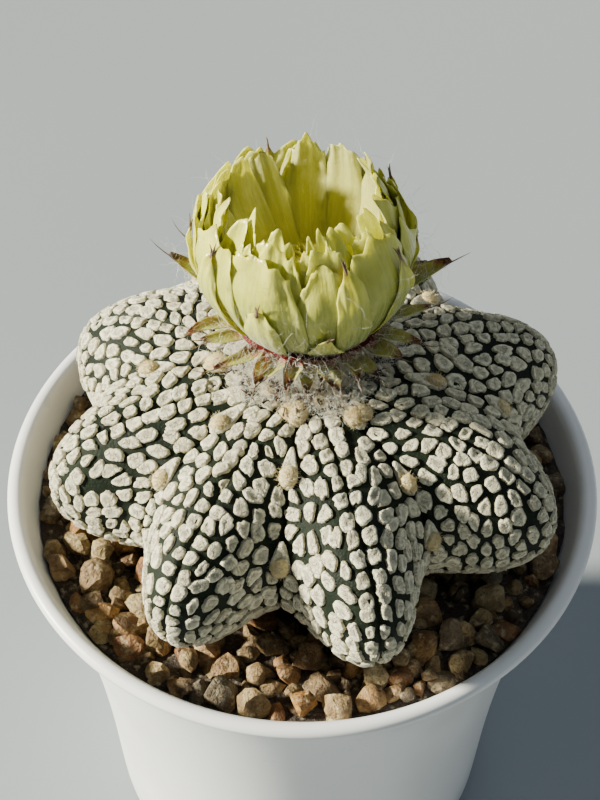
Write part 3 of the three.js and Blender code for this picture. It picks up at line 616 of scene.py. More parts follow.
def stone(name, shades, darkest):
    """Rough grit; each stone takes its own shade from its tone"""
    finish = Finish(name)
    tone = finish.number("tone")
    speckle = finish.noise(0.45, detail=6, roughness=0.7)
    patch = finish.noise(2.3, detail=4)
    base = finish.ramp(tone, shades)
    shadowed = finish.mixed(1.0, base, (0.45, 0.38, 0.30), "MULTIPLY")
    veined = finish.mixed(finish.between(patch, 0.36, 0.62, 0, 0.95), base, shadowed)
    bleach = finish.between(finish.noise(1.3, detail=5), 0.54, 0.7, 0, 0.4)
    pale = finish.mixed(bleach, veined, (0.70, 0.60, 0.38))
    finish.feed("Base Color", finish.mixed(finish.between(speckle, 0.48, 0.7, 0, 0.75), pale, darkest))
    finish.feed("Roughness", finish.between(speckle, 0.3, 0.7, 0.5, 0.85))
    return finish.relief((patch, 0.9), (finish.noise(0.9, detail=3), 0.45), (speckle, 0.2))


STONE_SHADES = [
    (0.0, (0.06, 0.045, 0.025)), (0.12, (0.14, 0.09, 0.04)), (0.26, (0.27, 0.185, 0.075)),
    (0.42, (0.36, 0.26, 0.115)), (0.56, (0.48, 0.38, 0.19)), (0.68, (0.29, 0.13, 0.04)),
    (0.78, (0.39, 0.255, 0.12)), (0.88, (0.17, 0.145, 0.095)), (0.95, (0.50, 0.25, 0.05)),
    (1.0, (0.62, 0.52, 0.30)),
]


def cactus_skin():
    finish = Finish("dark_cactus_skin", Specular_IOR_Level=0.15)
    cloud = finish.noise(7, detail=3)
    grains = finish.cells(0.34)
    base = finish.ramp(cloud, [(0.3, (0.004, 0.008, 0.004)), (0.7, (0.010, 0.016, 0.008))])
    dots = finish.between(grains, 0.28, 0.12)
    dotted = finish.times(dots, finish.between(finish.noise(2.6), 0.4, 0.65, 0.1, 0.5))
    finish.feed("Base Color", finish.mixed(dotted, base, (0.09, 0.10, 0.075)))
    finish.feed("Roughness", finish.between(cloud, 0.3, 0.7, 0.55, 0.72))
    return finish.relief((grains, 0.05), (finish.noise(1.2), 0.1))


def fleck_felt():
    """Cream felt with painted shade in its fine creases and middle dip and a painted highlight on its
    rim; each fleck takes its own tint from its tone
    """
    finish = Finish("cream_fleck_felt", Roughness=0.88, Sheen_Weight=0.2)
    dip, tone = finish.number("dip"), finish.number("tone")
    cloud = finish.noise(2.2, detail=4)
    fuzz = finish.noise(0.22, detail=5, roughness=0.75)
    wrinkle = finish.noise(0.8, detail=3, roughness=0.6)
    rim = finish.number("rim")
    base = finish.ramp(
        finish.mixed(0.5, tone, cloud),
        [(0.15, (0.56, 0.50, 0.33)), (0.45, (0.76, 0.70, 0.47)), (0.8, (0.92, 0.87, 0.62))])
    # Dark lines along the wrinkles' folds: painted shade in the creases
    fold = finish.times(finish.times(wrinkle, 0.5, "SUBTRACT"), 0.0, "ABSOLUTE")
    creased = finish.mixed(finish.between(fold, 0.0, 0.05, 0.6, 0), base, (0.28, 0.25, 0.18))
    shaded = finish.mixed(finish.between(fuzz, 0.4, 0.7, 0, 0.35), creased, (0.38, 0.34, 0.25))
    # Darker middle: painted shade in each fleck's dip
    dip_shade = finish.times(dip, finish.between(tone, 0.2, 0.9, 0.05, 0.6))
    centre = finish.mixed(dip_shade, shaded, (0.32, 0.29, 0.21))
    # Paler ring: a painted highlight on each fleck's raised rim
    edge = finish.times(finish.times(rim, dip, "SUBTRACT"), 0.45)
    finish.feed("Base Color", finish.mixed(edge, centre, (0.97, 0.93, 0.70)))
    return finish.relief((finish.between(fold, 0.0, 0.12), 0.16), (wrinkle, 0.3), (fuzz, 0.09))


def areole_felt():
    finish = Finish("tan_areole_felt", Roughness=0.95)
    tone = finish.number("tone")
    cloud = finish.noise(0.8, detail=5, roughness=0.7)
    base = finish.ramp(tone, [
        (0.0, (0.55, 0.38, 0.14)), (0.5, (0.78, 0.61, 0.28)), (1.0, (0.88, 0.82, 0.62))])
    finish.feed("Base Color", finish.mixed(
        finish.between(cloud, 0.4, 0.7, 0, 0.7), base, (0.90, 0.80, 0.52)))
    return finish.relief((cloud, 0.6), (finish.noise(0.25, detail=4), 0.16))


def plant_wool():
    finish = Finish("cream_plant_wool", Roughness=0.8, Subsurface_Weight=0.2, Subsurface_Scale=0.0006)
    tone = finish.number("tone")
    finish.feed("Base Color", finish.ramp(finish.mixed(0.3, tone, finish.noise(2.5)), [
        (0.1, (0.40, 0.33, 0.22)), (0.35, (0.68, 0.62, 0.48)),
        (0.6, (0.82, 0.79, 0.69)), (0.9, (0.90, 0.88, 0.80))]))
    return finish.relief((finish.noise(0.25), 0.05))


def dried_bits():
    finish = Finish("dried_brown_bits", Roughness=0.85)
    finish.feed("Base Color", finish.ramp(finish.noise(0.6, detail=5), [
        (0.3, (0.015, 0.01, 0.008)), (0.55, (0.07, 0.035, 0.02)), (0.75, (0.2, 0.12, 0.07))]))
    return finish.relief((finish.noise(0.3, detail=4), 0.15))


def flower_scales():
    """Olive green scales that turn red-brown at the root and dry brown at the tip"""
    finish = Finish("olive_flower_scales", Subsurface_Weight=0.1, Subsurface_Scale=0.0008)
    along = finish.number("along")
    cloud = finish.noise(1.1, detail=5, roughness=0.65)
    shift = finish.times(finish.between(cloud, 0.3, 0.7, -0.1, 0.1), along, "ADD")
    base = finish.ramp(shift, [
        (0.0, (0.20, 0.006, 0.003)), (0.14, (0.26, 0.05, 0.012)), (0.3, (0.26, 0.26, 0.045)),
        (0.62, (0.42, 0.43, 0.10)), (0.78, (0.24, 0.17, 0.06)), (0.86, (0.07, 0.028, 0.014)),
        (1.0, (0.02, 0.01, 0.007))])
    streaks = finish.noise(0.35, detail=4)
    finish.feed("Base Color", finish.mixed(
        finish.between(streaks, 0.5, 0.8, 0, 0.4), base, (0.50, 0.48, 0.20)))
    finish.feed("Roughness", finish.between(cloud, 0.3, 0.7, 0.45, 0.7))
    return finish.relief((streaks, 0.08), (cloud, 0.1))


def tube_skin():
    """Green tube with a red ring where the petals start"""
    finish = Finish("green_flower_tube", Roughness=0.55, Specular_IOR_Level=0.2)
    along = finish.number("along")
    cloud = finish.noise(1.6, detail=4)
    shift = finish.times(finish.between(cloud, 0.3, 0.7, -0.04, 0.04), along, "ADD")
    finish.feed("Base Color", finish.ramp(shift, [
        (0.0, (0.20, 0.2, 0.07)), (0.66, (0.26, 0.25, 0.07)), (0.84, (0.28, 0.13, 0.04)),
        (0.93, (0.15, 0.004, 0.002)), (1.0, (0.09, 0.003, 0.002))]))
    return finish.relief((cloud, 0.15), (finish.noise(0.4), 0.05))


def petal_satin():
    """Pale yellow-green satin, greener and deeper inside where shade is painted on the inner faces, with
    brown lines and tips where they are set
    """
    finish = Finish(
        "pale_yellow_petals", IOR=1.4, Coat_Weight=0.2, Coat_Roughness=0.2, Subsurface_Weight=0.5,
        Subsurface_Radius=(1.0, 0.95, 0.3), Subsurface_Scale=0.001, Sheen_Weight=0.15)
    along = finish.number("along")
    inside = finish.number("inside")
    brown = finish.number("brown")
    cloud = finish.noise(3.4, detail=4)
    streak = finish.veins(finish.number("across"), finish.times(along, 1.6), 0.55)
    shift = finish.times(along, finish.between(cloud, 0.3, 0.7, -0.07, 0.07), "ADD")
    outer = finish.ramp(shift, [
        (0.0, (0.24, 0.05, 0.012)), (0.04, (0.15, 0.20, 0.015)), (0.35, (0.23, 0.28, 0.03)),
        (0.62, (0.43, 0.45, 0.045)), (0.9, (0.72, 0.70, 0.09))])
    lit = finish.mixed(finish.between(streak, 0.35, 0.75, 0, 0.3), outer, (0.74, 0.76, 0.18))
    # The inner faces and the cup's inside take darker colours: painted shade inside the flower
    inner_face_shade = finish.ramp(along, [
        (0.1, (0.48, 0.45, 0.08)), (0.6, (0.51, 0.49, 0.12)), (0.95, (0.55, 0.54, 0.15))])
    body = finish.mixed(inside, lit, inner_face_shade)
    finish.feed("Base Color", finish.mixed(brown, body, (0.13, 0.055, 0.025)))
    finish.feed("Roughness", finish.between(streak, 0.3, 0.7, 0.2, 0.36))
    return finish.relief((streak, 0.09), (finish.noise(1.4, detail=4), 0.16))


def stamen_yellow():
    finish = Finish("golden_stamens", Roughness=0.6)
    tone = finish.number("tone")
    finish.feed("Base Color", finish.ramp(
        finish.mixed(0.35, tone, finish.noise(0.5)),
        [(0.2, (0.62, 0.53, 0.08)), (0.6, (0.76, 0.71, 0.19)), (0.9, (0.82, 0.80, 0.36))]))
    return finish.relief((finish.noise(0.2), 0.05))


def bristle_brown():
    finish = Finish("dry_bristles", Roughness=0.6)
    finish.feed("Base Color", finish.ramp(
        finish.noise(0.8), [(0.3, (0.06, 0.03, 0.02)), (0.7, (0.26, 0.16, 0.09))]))
    return finish.relief((finish.noise(0.3), 0.04))


PLASTIC = white_plastic()
MIX = potting_mix()
STONES = stone("mixed_gravel_stones", STONE_SHADES, (0.10, 0.07, 0.05))
# The bed's near-black colour is painted shade in the deep gaps between the stones
BED = stone("gravel_bed", [(0.0, (0.03, 0.02, 0.012)), (1.0, (0.09, 0.06, 0.04))], (0.02, 0.014, 0.01))
SKIN = cactus_skin()
FLECKS = fleck_felt()
FELT = areole_felt()
WOOL = plant_wool()
DRIED = dried_bits()
SCALES = flower_scales()
TUBE = tube_skin()
PETALS = petal_satin()
STAMENS = stamen_yellow()
BRISTLES = bristle_brown()


# Shapes that are scattered: fibres and stones. They stay out of the scene, and go when it is built.
SCATTERED = []


def hide_away(name, objects):
    """Collection of shapes for the trees to scatter"""
    shapes = bpy.data.collections.new(name)
    for shape in objects:
        for holder in list(shape.users_collection):
            holder.objects.unlink(shape)
        shapes.objects.link(shape)
    SCATTERED.extend(objects)
    return shapes


def fibre(name, path, thickness):
    """Thin tapered fibre with three sides along a path in metres"""
    path = np.array(path)
    turn = np.array([0, 2, 4]) * np.pi / 3
    taper = np.linspace(1, 0.35, len(path))
    ring = np.stack([np.cos(turn), np.sin(turn), np.zeros(3)], -1)
    grid = path[:, None, :] + ring[None] * (thickness * taper)[:, None, None]
    shell = Shell()
    index = shell.add_grid(grid / MM, ring=True)
    shell.add_pole(index[-1], (path[-1] + UP * thickness) / MM, top=True)
    return shell.make(name)


def fibre_shapes(name, thickness, curl, seed, bends, count=6):
    """Fibres a metre long, for the trees to bring to size, each with its own bends"""
    random = np.random.default_rng(seed)
    shapes = []
    for number in range(count):
        path = [np.zeros(3)]
        for _ in range(bends):
            path.append(path[-1] + np.array([*random.uniform(-curl, curl, 2), 1]) / bends)
        shapes.append(fibre(f"{name}_{number}", path, thickness))
    return hide_away(name, shapes)


def stone_shapes(seed):
    """Rounded and angular stones: a ball that random planes have cut"""
    random = np.random.default_rng(seed)
    shapes = []
    for number in range(STONE["shapes"]):
        ball = bmesh.new()
        bmesh.ops.create_icosphere(ball, subdivisions=2, radius=0.5)
        stretch = random.uniform(*STONE["stretch"], 3)
        for _ in range(STONE["cuts"]):
            normal = unit(random.normal(size=3))
            level = random.uniform(*STONE["cut level"])
            for corner in ball.verts:
                over = float(np.dot(corner.co, normal)) - level
                if over > 0:
                    corner.co -= Vector(normal * over * 0.97)
        for corner in ball.verts:
            corner.co = Vector(np.array(corner.co) * stretch * (1 + random.normal() * 0.02))
        mesh = bpy.data.meshes.new(f"stone_{number}")
        ball.to_mesh(mesh)
        ball.free()
        mesh.polygons.foreach_set("use_smooth", [True] * len(mesh.polygons))
        mesh.set_sharp_from_angle(angle=math.radians(STONE["crease"]))
        shapes.append(add_object(mesh.name, mesh))
    return hide_away("stones", shapes)


def scatter_tree(name):
    """Shapes stand on a surface: upright on it, leaning at random, each with its own tone"""
    tree, given = new_tree(
        name, shapes="Collection", density="Float", spacing="Float", smallest="Float", largest="Float",
        lean="Float", seed="Int", finish="Material")
    dots = add_node(tree, "GeometryNodeDistributePointsOnFaces", {
        "Mesh": given["surface"], "Distance Min": given["spacing"], "Density Max": given["density"],
        "Seed": given["seed"]}, distribute_method="POISSON")
    kinds = add_node(tree, "GeometryNodeCollectionInfo", {
        "Collection": given["shapes"], "Separate Children": True, "Reset Children": True})
    lean_down = calculate(tree, given["lean"], -1.0)
    low = add_node(tree, "ShaderNodeCombineXYZ", {"X": lean_down, "Y": lean_down, "Z": -3.14})
    high = add_node(tree, "ShaderNodeCombineXYZ", {"X": given["lean"], "Y": given["lean"], "Z": 3.14})
    angles = add_node(tree, "FunctionNodeRandomValue", {
        0: low.outputs[0], 1: high.outputs[0], "Seed": given["seed"]}, data_type="FLOAT_VECTOR")
    turn = add_node(tree, "FunctionNodeEulerToRotation", {"Euler": angles.outputs[0]})
    stand = add_node(tree, "FunctionNodeRotateRotation", {
        "Rotation": dots.outputs["Rotation"], "Rotate By": turn.outputs[0]}, rotation_space="LOCAL")
    sizes = vary(tree, given["smallest"], given["largest"], given["seed"])
    placed = add_node(tree, "GeometryNodeInstanceOnPoints", {
        "Points": dots.outputs["Points"], "Instance": kinds.outputs[0], "Pick Instance": True,
        "Rotation": stand.outputs[0], "Scale": sizes})
    tones = vary(tree, 0.0, 1.0, given["seed"])
    toned = keep_number(tree, placed.outputs[0], "tone", tones, "INSTANCE")
    end_tree(tree, toned, given["finish"])
    return tree


SCATTER = scatter_tree("scattered shapes")


def copy_of(piece, name):
    return add_object(name, piece.data.copy())


def scatter(name, surface, shapes, finish, seed, sizes, density, lean, spacing=0.0):
    """Scatters shapes on a surface; sizes and spacing in millimetres, density to a square one"""
    return grow(
        name, copy_of(surface, name + "_host"), SCATTER, shapes=shapes, density=density / MM**2,
        spacing=spacing * MM, smallest=sizes[0] * MM, largest=sizes[1] * MM, lean=lean, seed=seed,
        finish=finish)


# Pot

def pot_tree():
    """Turns an outline round the pot's axis and drills its drainage holes"""
    tree, given = new_tree(
        "turned pot", turning_radius="Float", segments="Int", drain_radius="Float", drain_circle="Float",
        drain_depth="Float", drains="Int", finish="Material")
    wheel = add_node(tree, "GeometryNodeCurvePrimitiveCircle", {
        "Radius": given["turning_radius"], "Resolution": given["segments"]})
    outline = add_node(tree, "GeometryNodeMeshToCurve", {"Mesh": given["surface"]})
    wall = add_node(tree, "GeometryNodeCurveToMesh", {
        "Curve": wheel.outputs["Curve"], "Profile Curve": outline.outputs["Curve"]})
    bit = add_node(tree, "GeometryNodeMeshCylinder", {
        "Vertices": 24, "Radius": given["drain_radius"], "Depth": given["drain_depth"]})
    places = add_node(tree, "GeometryNodeMeshCircle", {
        "Vertices": given["drains"], "Radius": given["drain_circle"]})
    bits = add_node(tree, "GeometryNodeInstanceOnPoints", {
        "Points": places.outputs["Mesh"], "Instance": bit.outputs["Mesh"]})
    cut = add_node(tree, "GeometryNodeMeshBoolean", {"Mesh 1": wall.outputs["Mesh"]}, solver="EXACT")
    real = add_node(tree, "GeometryNodeRealizeInstances", {"Geometry": bits.outputs[0]})
    tree.links.new(real.outputs[0], cut.inputs["Mesh 2"])
    smooth = add_node(tree, "GeometryNodeSetShadeSmooth", {
        "Geometry": cut.outputs["Mesh"], "Shade Smooth": True})
    angle = add_node(tree, "GeometryNodeInputMeshEdgeAngle")
    steep = add_node(tree, "FunctionNodeCompare", {0: angle.outputs["Unsigned Angle"], 1: 0.7})
    creased = add_node(tree, "GeometryNodeSetShadeSmooth", {
        "Geometry": smooth.outputs[0], "Selection": steep.outputs[0], "Shade Smooth": False,
    }, domain="EDGE")
    end_tree(tree, creased.outputs[0], given["finish"])
    return tree


def build_pot():
    wall = smooth_path(OUTER_WALL, WALL_STEPS)
    inside = smooth_path(INNER_WALL, WALL_STEPS)
    outline = np.array([*FOOT, *wall, *LIP, *inside, *INNER_FOOT])
    points = [((radius - TURNING_RADIUS) * MM, -height * MM, 0) for radius, height in outline]
    mesh = bpy.data.meshes.new("pot_outline")
    mesh.from_pydata(points, [(i, (i + 1) % len(points)) for i in range(len(points))], [])
    return grow(
        "turned_pot", add_object("pot_outline", mesh), pot_tree(), turning_radius=TURNING_RADIUS * MM,
        segments=POT_SEGMENTS, drain_radius=DRAIN["radius"] * MM, drain_circle=DRAIN["circle"] * MM,
        drain_depth=DRAIN["depth"] * MM, drains=DRAIN["count"], finish=PLASTIC)


# Gravel

def under_body(x, y):
    """How far a place is in under the body, from 0 beside it to 1"""
    distance, reach = from_middle(x, y)
    edge = reach * 0.7 + 2
    return float(smooth_step(edge + 2, edge - 3, distance))


def wall_radius(z):
    """Inner radius of the pot at a height"""
    return radius_on(INNER_WALL[::-1], z)


def keep_in_pot(piece):
    """Stones that would pass through the pot's wall are drawn in to it"""
    mesh = piece.data
    points = np.empty(len(mesh.vertices) * 3)
    mesh.vertices.foreach_get("co", points)
    points = points.reshape(-1, 3)
    radius = np.linalg.norm(points[:, :2], axis=1)
    room = (wall_radius(points[:, 2] / MM) - WALL_GAP) * MM
    points[:, :2] *= np.minimum(1, room / np.maximum(radius, 1e-6))[:, None]
    mesh.vertices.foreach_set("co", points.reshape(-1))
    mesh.update()


def gravel_bed():
    """Closed bed under the stones in painted near-black shade: down the wall, across and up round the
    neck
    """
    random = np.random.default_rng(11)
    radii = np.concatenate([np.linspace(GRAVEL_REACH, 22, 14), np.linspace(20, HOLE_RADIUS, 6)])
    turns = turns_of(120)
    points = []
    for radius in radii:
        centre = BODY_CENTRE * np.clip((20 - radius) / 6, 0, 1)
        for turn in turns:
            x, y = centre[0] + radius * math.cos(turn), centre[1] + radius * math.sin(turn)
            dip = under_body(x, y) * BED_DIP
            points.append([x, y, BED_TOP - dip + random.normal() * BED_ROUGHNESS])
    top = np.reshape(points, (len(radii), len(turns), 3))
    below = top[[-1, 0]].copy()
    below[..., 2] = BED_BOTTOM
    below[1, :, :2] *= (wall_radius(BED_BOTTOM) - WALL_GAP) / GRAVEL_REACH
    bed = Shell("tone")
    bed.close_rows(bed.add_grid(np.concatenate([below[1:], top, below[:1]]), ring=True, tone=0.5))
    field = Shell()
    field.add_grid(top[radii < GRAVEL_REACH - 0.9], ring=True)
    return bed.make("gravel_bed", BED), field.make("stone_field")


def build_gravel():
    bed, field = gravel_bed()
    shapes = stone_shapes(5)
    layers = []
    for seed, (lift, sizes, spacing, density) in enumerate(STONE_LAYERS):
        host = copy_of(field, "field")
        host.data.transform(Matrix.Translation((0, 0, lift * MM)))
        layers.append(scatter(
            f"stones_{seed}", host, shapes, STONES, 31 + seed, sizes, density, lean=3.1, spacing=spacing))
        bpy.data.objects.remove(host)
    bpy.data.objects.remove(field)
    gravel = join("gravel_topping", bed, *layers)
    keep_in_pot(gravel)
    return gravel


# Cactus body

def seam_columns(steps):
    """Phases round the body, closer together beside each crest and furrow"""
    share = (1 - np.cos(np.pi * np.arange(steps) / steps)) / 4
    return np.concatenate([half / 2 + share for half in range(ARM_COUNT * 2)])


def body_skin():
    phases = seam_columns(BODY_COLUMNS)
    neck_slope = np.pi - math.asin(NECK_END ** (BELLY_ACROSS / 2))
    dome = np.linspace(0.012, np.pi / 2, DOME_ROWS)
    belly = np.linspace(np.pi / 2, neck_slope, BELLY_ROWS)[1:]
    slopes = np.concatenate([dome, belly])[::-1]
    skin = Shell()
    upper = skin_point(phases[None], slopes[:, None])
    azimuth = azimuth_at(phases)
    root = [around(BODY_CENTRE, radius, azimuth, NECK_TOP - depth) for radius, depth in TAPROOT[::-1]]
    index = skin.add_grid(np.concatenate([np.array(root), upper]), ring=True)
    skin.add_pole(index[0], [*BODY_CENTRE, NECK_TOP - TAPROOT[-1][1] - 2], top=False)
    skin.add_pole(index[-1], [*BODY_CENTRE, WAIST_Z + DOME_HEIGHT], top=True)
    return skin.make("skin", SKIN)


def areole_places():
    """Phase, slope, ball radius and tail length of every areole in the furrows"""
    return [
        (phase, slope_of_share(share), AREOLE["radius"] * (1.1 if share < 0.5 else 0.95), AREOLE["tail"])
        for phase, shares in AREOLES.items() for share in shares]


def fleck_frames(phases, slopes):
    """Points, normals and the flat frames of flecks: their length turns a little from place to place"""
    points, normals, alongs = body_frame(phases, slopes)
    across = unit(np.cross(alongs, normals))
    seam = np.clip(np.abs(np.mod(phases * 2 + 0.5, 1) - 0.5) * 4 - 0.3, 0, 1)
    x, y = points[:, 0], points[:, 1]
    turn = FLECK["turn"] * seam * (np.sin(x / 4.1 + y / 6.3) + np.sin(y / 3.7 - x / 7.9))
    cosine, sine = np.cos(turn)[:, None], np.sin(turn)[:, None]
    flat = np.stack([across * cosine + alongs * sine, alongs * cosine - across * sine], 1)
    return points, normals, flat


def seed_rows(random):
    """Phases and slopes of the flecks that flank each crest and furrow in pairs"""
    rows = []
    step = 0.02
    slopes = np.linspace(FLECK_SLOPES[0], FLECK_SLOPES[1], 400)
    for seam in np.arange(ARM_COUNT * 2) / 2:
        travel = travel_along(body_point(seam, slopes))
        y = random.uniform(0, FLECK["along"])
        while y < travel[-1]:
            slope = np.interp(y, travel, slopes)
            sides = body_point(seam + np.array([-step, step]), slope)
            spread = np.linalg.norm(sides[1] - sides[0]) / (2 * step)
            for way in (-1, 1):
                offset = FLECK["across"] * random.uniform(0.52, 0.66) / spread
                shift = random.uniform(-0.12, 0.12) * FLECK["along"]
                rows.append((seam + way * offset, np.interp(y + shift, travel, slopes)))
            y += FLECK["along"] * random.uniform(0.7, 1.1)
    return rows


def bare_places():
    """Middles and radii of the places that flecks leave free: tails, balls and the flower's foot"""
    bare = [([*FLOWER_AXIS, crown_height(*FLOWER_AXIS)], FLECK_FIRST_RADIUS)]
    for phase, slope, radius, tail in areole_places():
        point, _, along = body_frame(phase, slope)
        bare.append((point, radius + 0.35))
        bare += [
            (point - along * tail * share, AREOLE["pad"] * (1 - share * 0.75))
            for share in (0.2, 0.45, 0.7, 0.95)]
    bare += [([x, y, crown_height(x, y)], radius) for x, y, radius in CROWN_AREOLES]
    return np.array([place for place, _ in bare]), np.array([radius for _, radius in bare])


def fleck_seeds(random):
    """Phases and slopes of all flecks, no two too close to one another"""
    rows = seed_rows(random)
    tries = np.column_stack([
        random.uniform(0, ARM_COUNT, FLECK_TRIES), random.uniform(*FLECK_SLOPES, FLECK_TRIES)])
    seeds = np.vstack([rows, tries])
    points, normals, flat = fleck_frames(*seeds.T)
    spacing = np.array([FLECK["across"], FLECK["along"]])[:, None]
    scale = np.concatenate([flat / spacing, normals[:, None] / 3], 1)
    bare, radii = bare_places()
    least = random.uniform(*FLECK["room"], len(seeds))
    is_low = (seeds[:, 1] > np.pi / 2) & (points[:, 2] < FLECK_LOWEST_Z)
    kept = []
    for i in np.flatnonzero(~is_low):
        if np.any(np.linalg.norm(bare - points[i], axis=1) < radii + FLECK["clearance"]):
            continue
        if kept:
            away = (points[kept] - points[i]) @ scale[i].T
            room = FLECK["pair room"] if i < len(rows) else least[i]
            if np.min(np.einsum("ij,ij->i", away, away)) < room**2:
                continue
        kept.append(i)
    return seeds[kept]


def clip(outline, direction, limit):
    """Part of an outline on the near side of a line"""
    side = outline @ direction - limit
    if np.all(side <= 0):
        return outline
    kept = []
    for i in range(len(outline)):
        j = (i + 1) % len(outline)
        if side[i] <= 0:
            kept.append(outline[i])
        if (side[i] <= 0) != (side[j] <= 0):
            share = side[i] / (side[i] - side[j])
            kept.append(outline[i] + (outline[j] - outline[i]) * share)
    return np.array(kept)


def soft_outline(outline, count, random):
    """Rounded and ragged outline with a fixed number of points"""
    closed = np.vstack([outline, outline[:1]])
    travel = travel_along(closed)
    stops = np.linspace(0, travel[-1], count, endpoint=False)
    outline = np.column_stack([np.interp(stops, travel, closed[:, axis]) for axis in (0, 1)])
    for _ in range(2):
        outline = outline * 0.5 + (np.roll(outline, 1, 0) + np.roll(outline, -1, 0)) * 0.25
    centre = outline.mean(0)
    turn = np.arange(count) * 2 * np.pi / count
    scallop = FLECK["scallop"] * np.sin(turn * random.integers(4, 8) + random.uniform(0, 6))
    scallop += random.normal(0, FLECK["ragged"], count)
    scallop[random.integers(0, count, random.integers(1, 4))] -= random.uniform(*FLECK["nick"])
    return centre + (outline - centre) * (FLECK["swell"] + scallop)[:, None]


def fleck_outlines(random):
    """Outline of each fleck on its own flat frame, with the seeds and their frames"""
    seeds = fleck_seeds(random)
    points, _, flat = fleck_frames(*seeds.T)
    mirrored = body_point(np.round(seeds[:, 0] * 2) - seeds[:, 0], seeds[:, 1])
    bare, radii = bare_places()
    scale = np.array([FLECK["across"], FLECK["along"]])
    turns = np.arange(16) * 2 * np.pi / 16
    start = np.column_stack([np.cos(turns), np.sin(turns)]) * FLECK["largest"]
    chained = {}
    outlines = []
    for i, point in enumerate(points):
        outline = start
        near = np.flatnonzero(np.linalg.norm(points - point, axis=1) < 2.4 * FLECK["along"])
        gap = FLECK["gap"] * random.uniform(0.7, 1.7)
        lines = []
        for j in near[near != i]:
            is_chained = chained.setdefault((min(i, j), max(i, j)), random.random() < CHAIN_SHARE)
            lines.append((points[j], 0.5, -0.12 if is_chained else gap / 2))
        lines.append((mirrored[i], 0.5, SEAM["gap"] / 2))
        for place in np.flatnonzero(np.linalg.norm(bare - point, axis=1) < radii + 4):
            lines.append((bare[place], 1.0, radii[place] + 0.25))
        for place, share, short in lines:
            away = flat[i] @ (place - point)
            scaled = away / scale
            length = np.linalg.norm(scaled)
            limit = length * share - short * length / max(np.linalg.norm(away), 1e-6)
            outline = clip(outline, scaled / length, max(limit, 0.12))
        outlines.append(soft_outline(outline, FLECK["corners"], random) * scale)
    return seeds, points, flat, np.array(outlines)


def lay_on_skin(seeds, points, flat, outlines):
    """Phases and slopes of flat outlines laid on the body"""
    phase, slope = seeds[:, :1], seeds[:, 1:]
    by_phase = (body_point(phase + NUDGE, slope) - body_point(phase - NUDGE, slope))[:, 0] / (2 * NUDGE)
    by_slope = (body_point(phase, slope + NUDGE) - body_point(phase, slope - NUDGE))[:, 0] / (2 * NUDGE)
    turn = np.linalg.inv(np.stack([
        np.einsum("nij,nj->ni", flat, by_phase), np.einsum("nij,nj->ni", flat, by_slope)], -1))
    place = np.einsum("nij,nkj->nki", turn, outlines)
    for _ in range(2):
        laid = body_point(phase + place[..., 0], slope + place[..., 1]) - points[:, None]
        miss = outlines - np.einsum("nij,nkj->nki", flat, laid)
        place += np.einsum("nij,nkj->nki", turn, miss) * 0.8
    return phase + place[..., 0], slope + place[..., 1]


def fleck_plates():
    """Flat plates of all flecks, laid just under the skin's surface, and the areoles' white tails"""
    random = np.random.default_rng(23)
    plates = Shell("tone")
    phases, slopes = lay_on_skin(*fleck_outlines(random))
    spots = skin_point(phases, slopes, -FLECK["sink"])
    tones = np.repeat(random.uniform(0, 1, len(spots)), FLECK["corners"])
    plates.add_faces(plates.add_points(spots, tone=tones).reshape(spots.shape[:2]))
    for phase, slope, radius, tail in areole_places():
        point, normal, along = body_frame(phase, slope)
        across = np.cross(normal, along)
        reach = tail * random.uniform(0.85, 1.2)
        width = AREOLE["pad"] * random.uniform(0.75, 1.0)
        outline = [
            point - along * a * (reach if a > 0 else radius * 1.5) + across * b * width
            - normal * FLECK["sink"] for a, b in TAIL_OUTLINE]
        plates.add_faces([plates.add_points(outline, tone=0.7)])
    return plates.make("fleck_plates", FLECKS)


def fleck_tree():
    """Raises each flat plate to a soft pad with a wrinkled rim and a dip in its middle"""
    tree, given = new_tree(
        "raised flecks", height="Float", shoulder="Float", rim="Float", dip="Float", middle="Float",
        wrinkle="Float", wrinkle_size="Float", seed="Int", finish="Material")

    def step(geometry, faces, height, share):
        """Raises faces and draws their tops in to a share of their width"""
        wires = {"Mesh": geometry, "Offset Scale": height, "Individual": True}
        if faces:
            wires["Selection"] = faces
        raised = add_node(tree, "GeometryNodeExtrudeMesh", wires, mode="FACES")
        drawn_in = add_node(tree, "GeometryNodeScaleElements", {
            "Geometry": raised.outputs["Mesh"], "Selection": raised.outputs["Top"], "Scale": share,
        }, domain="FACE")
        return drawn_in.outputs[0], raised.outputs["Top"]

    height = calculate(tree, vary(tree, 0.8, 1.2, given["seed"]), given["height"])
    pad, top = step(given["surface"], None, height, given["shoulder"])
    pad, top = step(pad, top, calculate(tree, given["height"], 0.14), given["rim"])
    # The rim is kept for the finish, which paints a highlight on it
    pad = keep_number(tree, pad, "rim", top, "POINT")
    depth = calculate(tree, given["dip"], vary(tree, -1.3, 0.0, given["seed"]))
    pad, top = step(pad, top, depth, given["middle"])
    # The dip is kept for the finish, which paints shade in it
    pad = keep_number(tree, pad, "dip", top, "POINT")
    cloud = add_node(tree, "ShaderNodeTexNoise", {"Scale": given["wrinkle_size"], "Detail": 2.0})
    amount = calculate(tree, calculate(tree, cloud.outputs[0], 0.5, "SUBTRACT"), given["wrinkle"])
    normal = add_node(tree, "GeometryNodeInputNormal")
    push = add_node(tree, "ShaderNodeVectorMath", {
        0: normal.outputs[0], "Scale": amount}, operation="SCALE")
    wrinkled = add_node(tree, "GeometryNodeSetPosition", {"Geometry": pad, "Offset": push.outputs[0]})
    smooth = add_node(tree, "GeometryNodeSetShadeSmooth", {
        "Geometry": wrinkled.outputs[0], "Shade Smooth": True})
    end_tree(tree, smooth.outputs[0], given["finish"])
    return tree


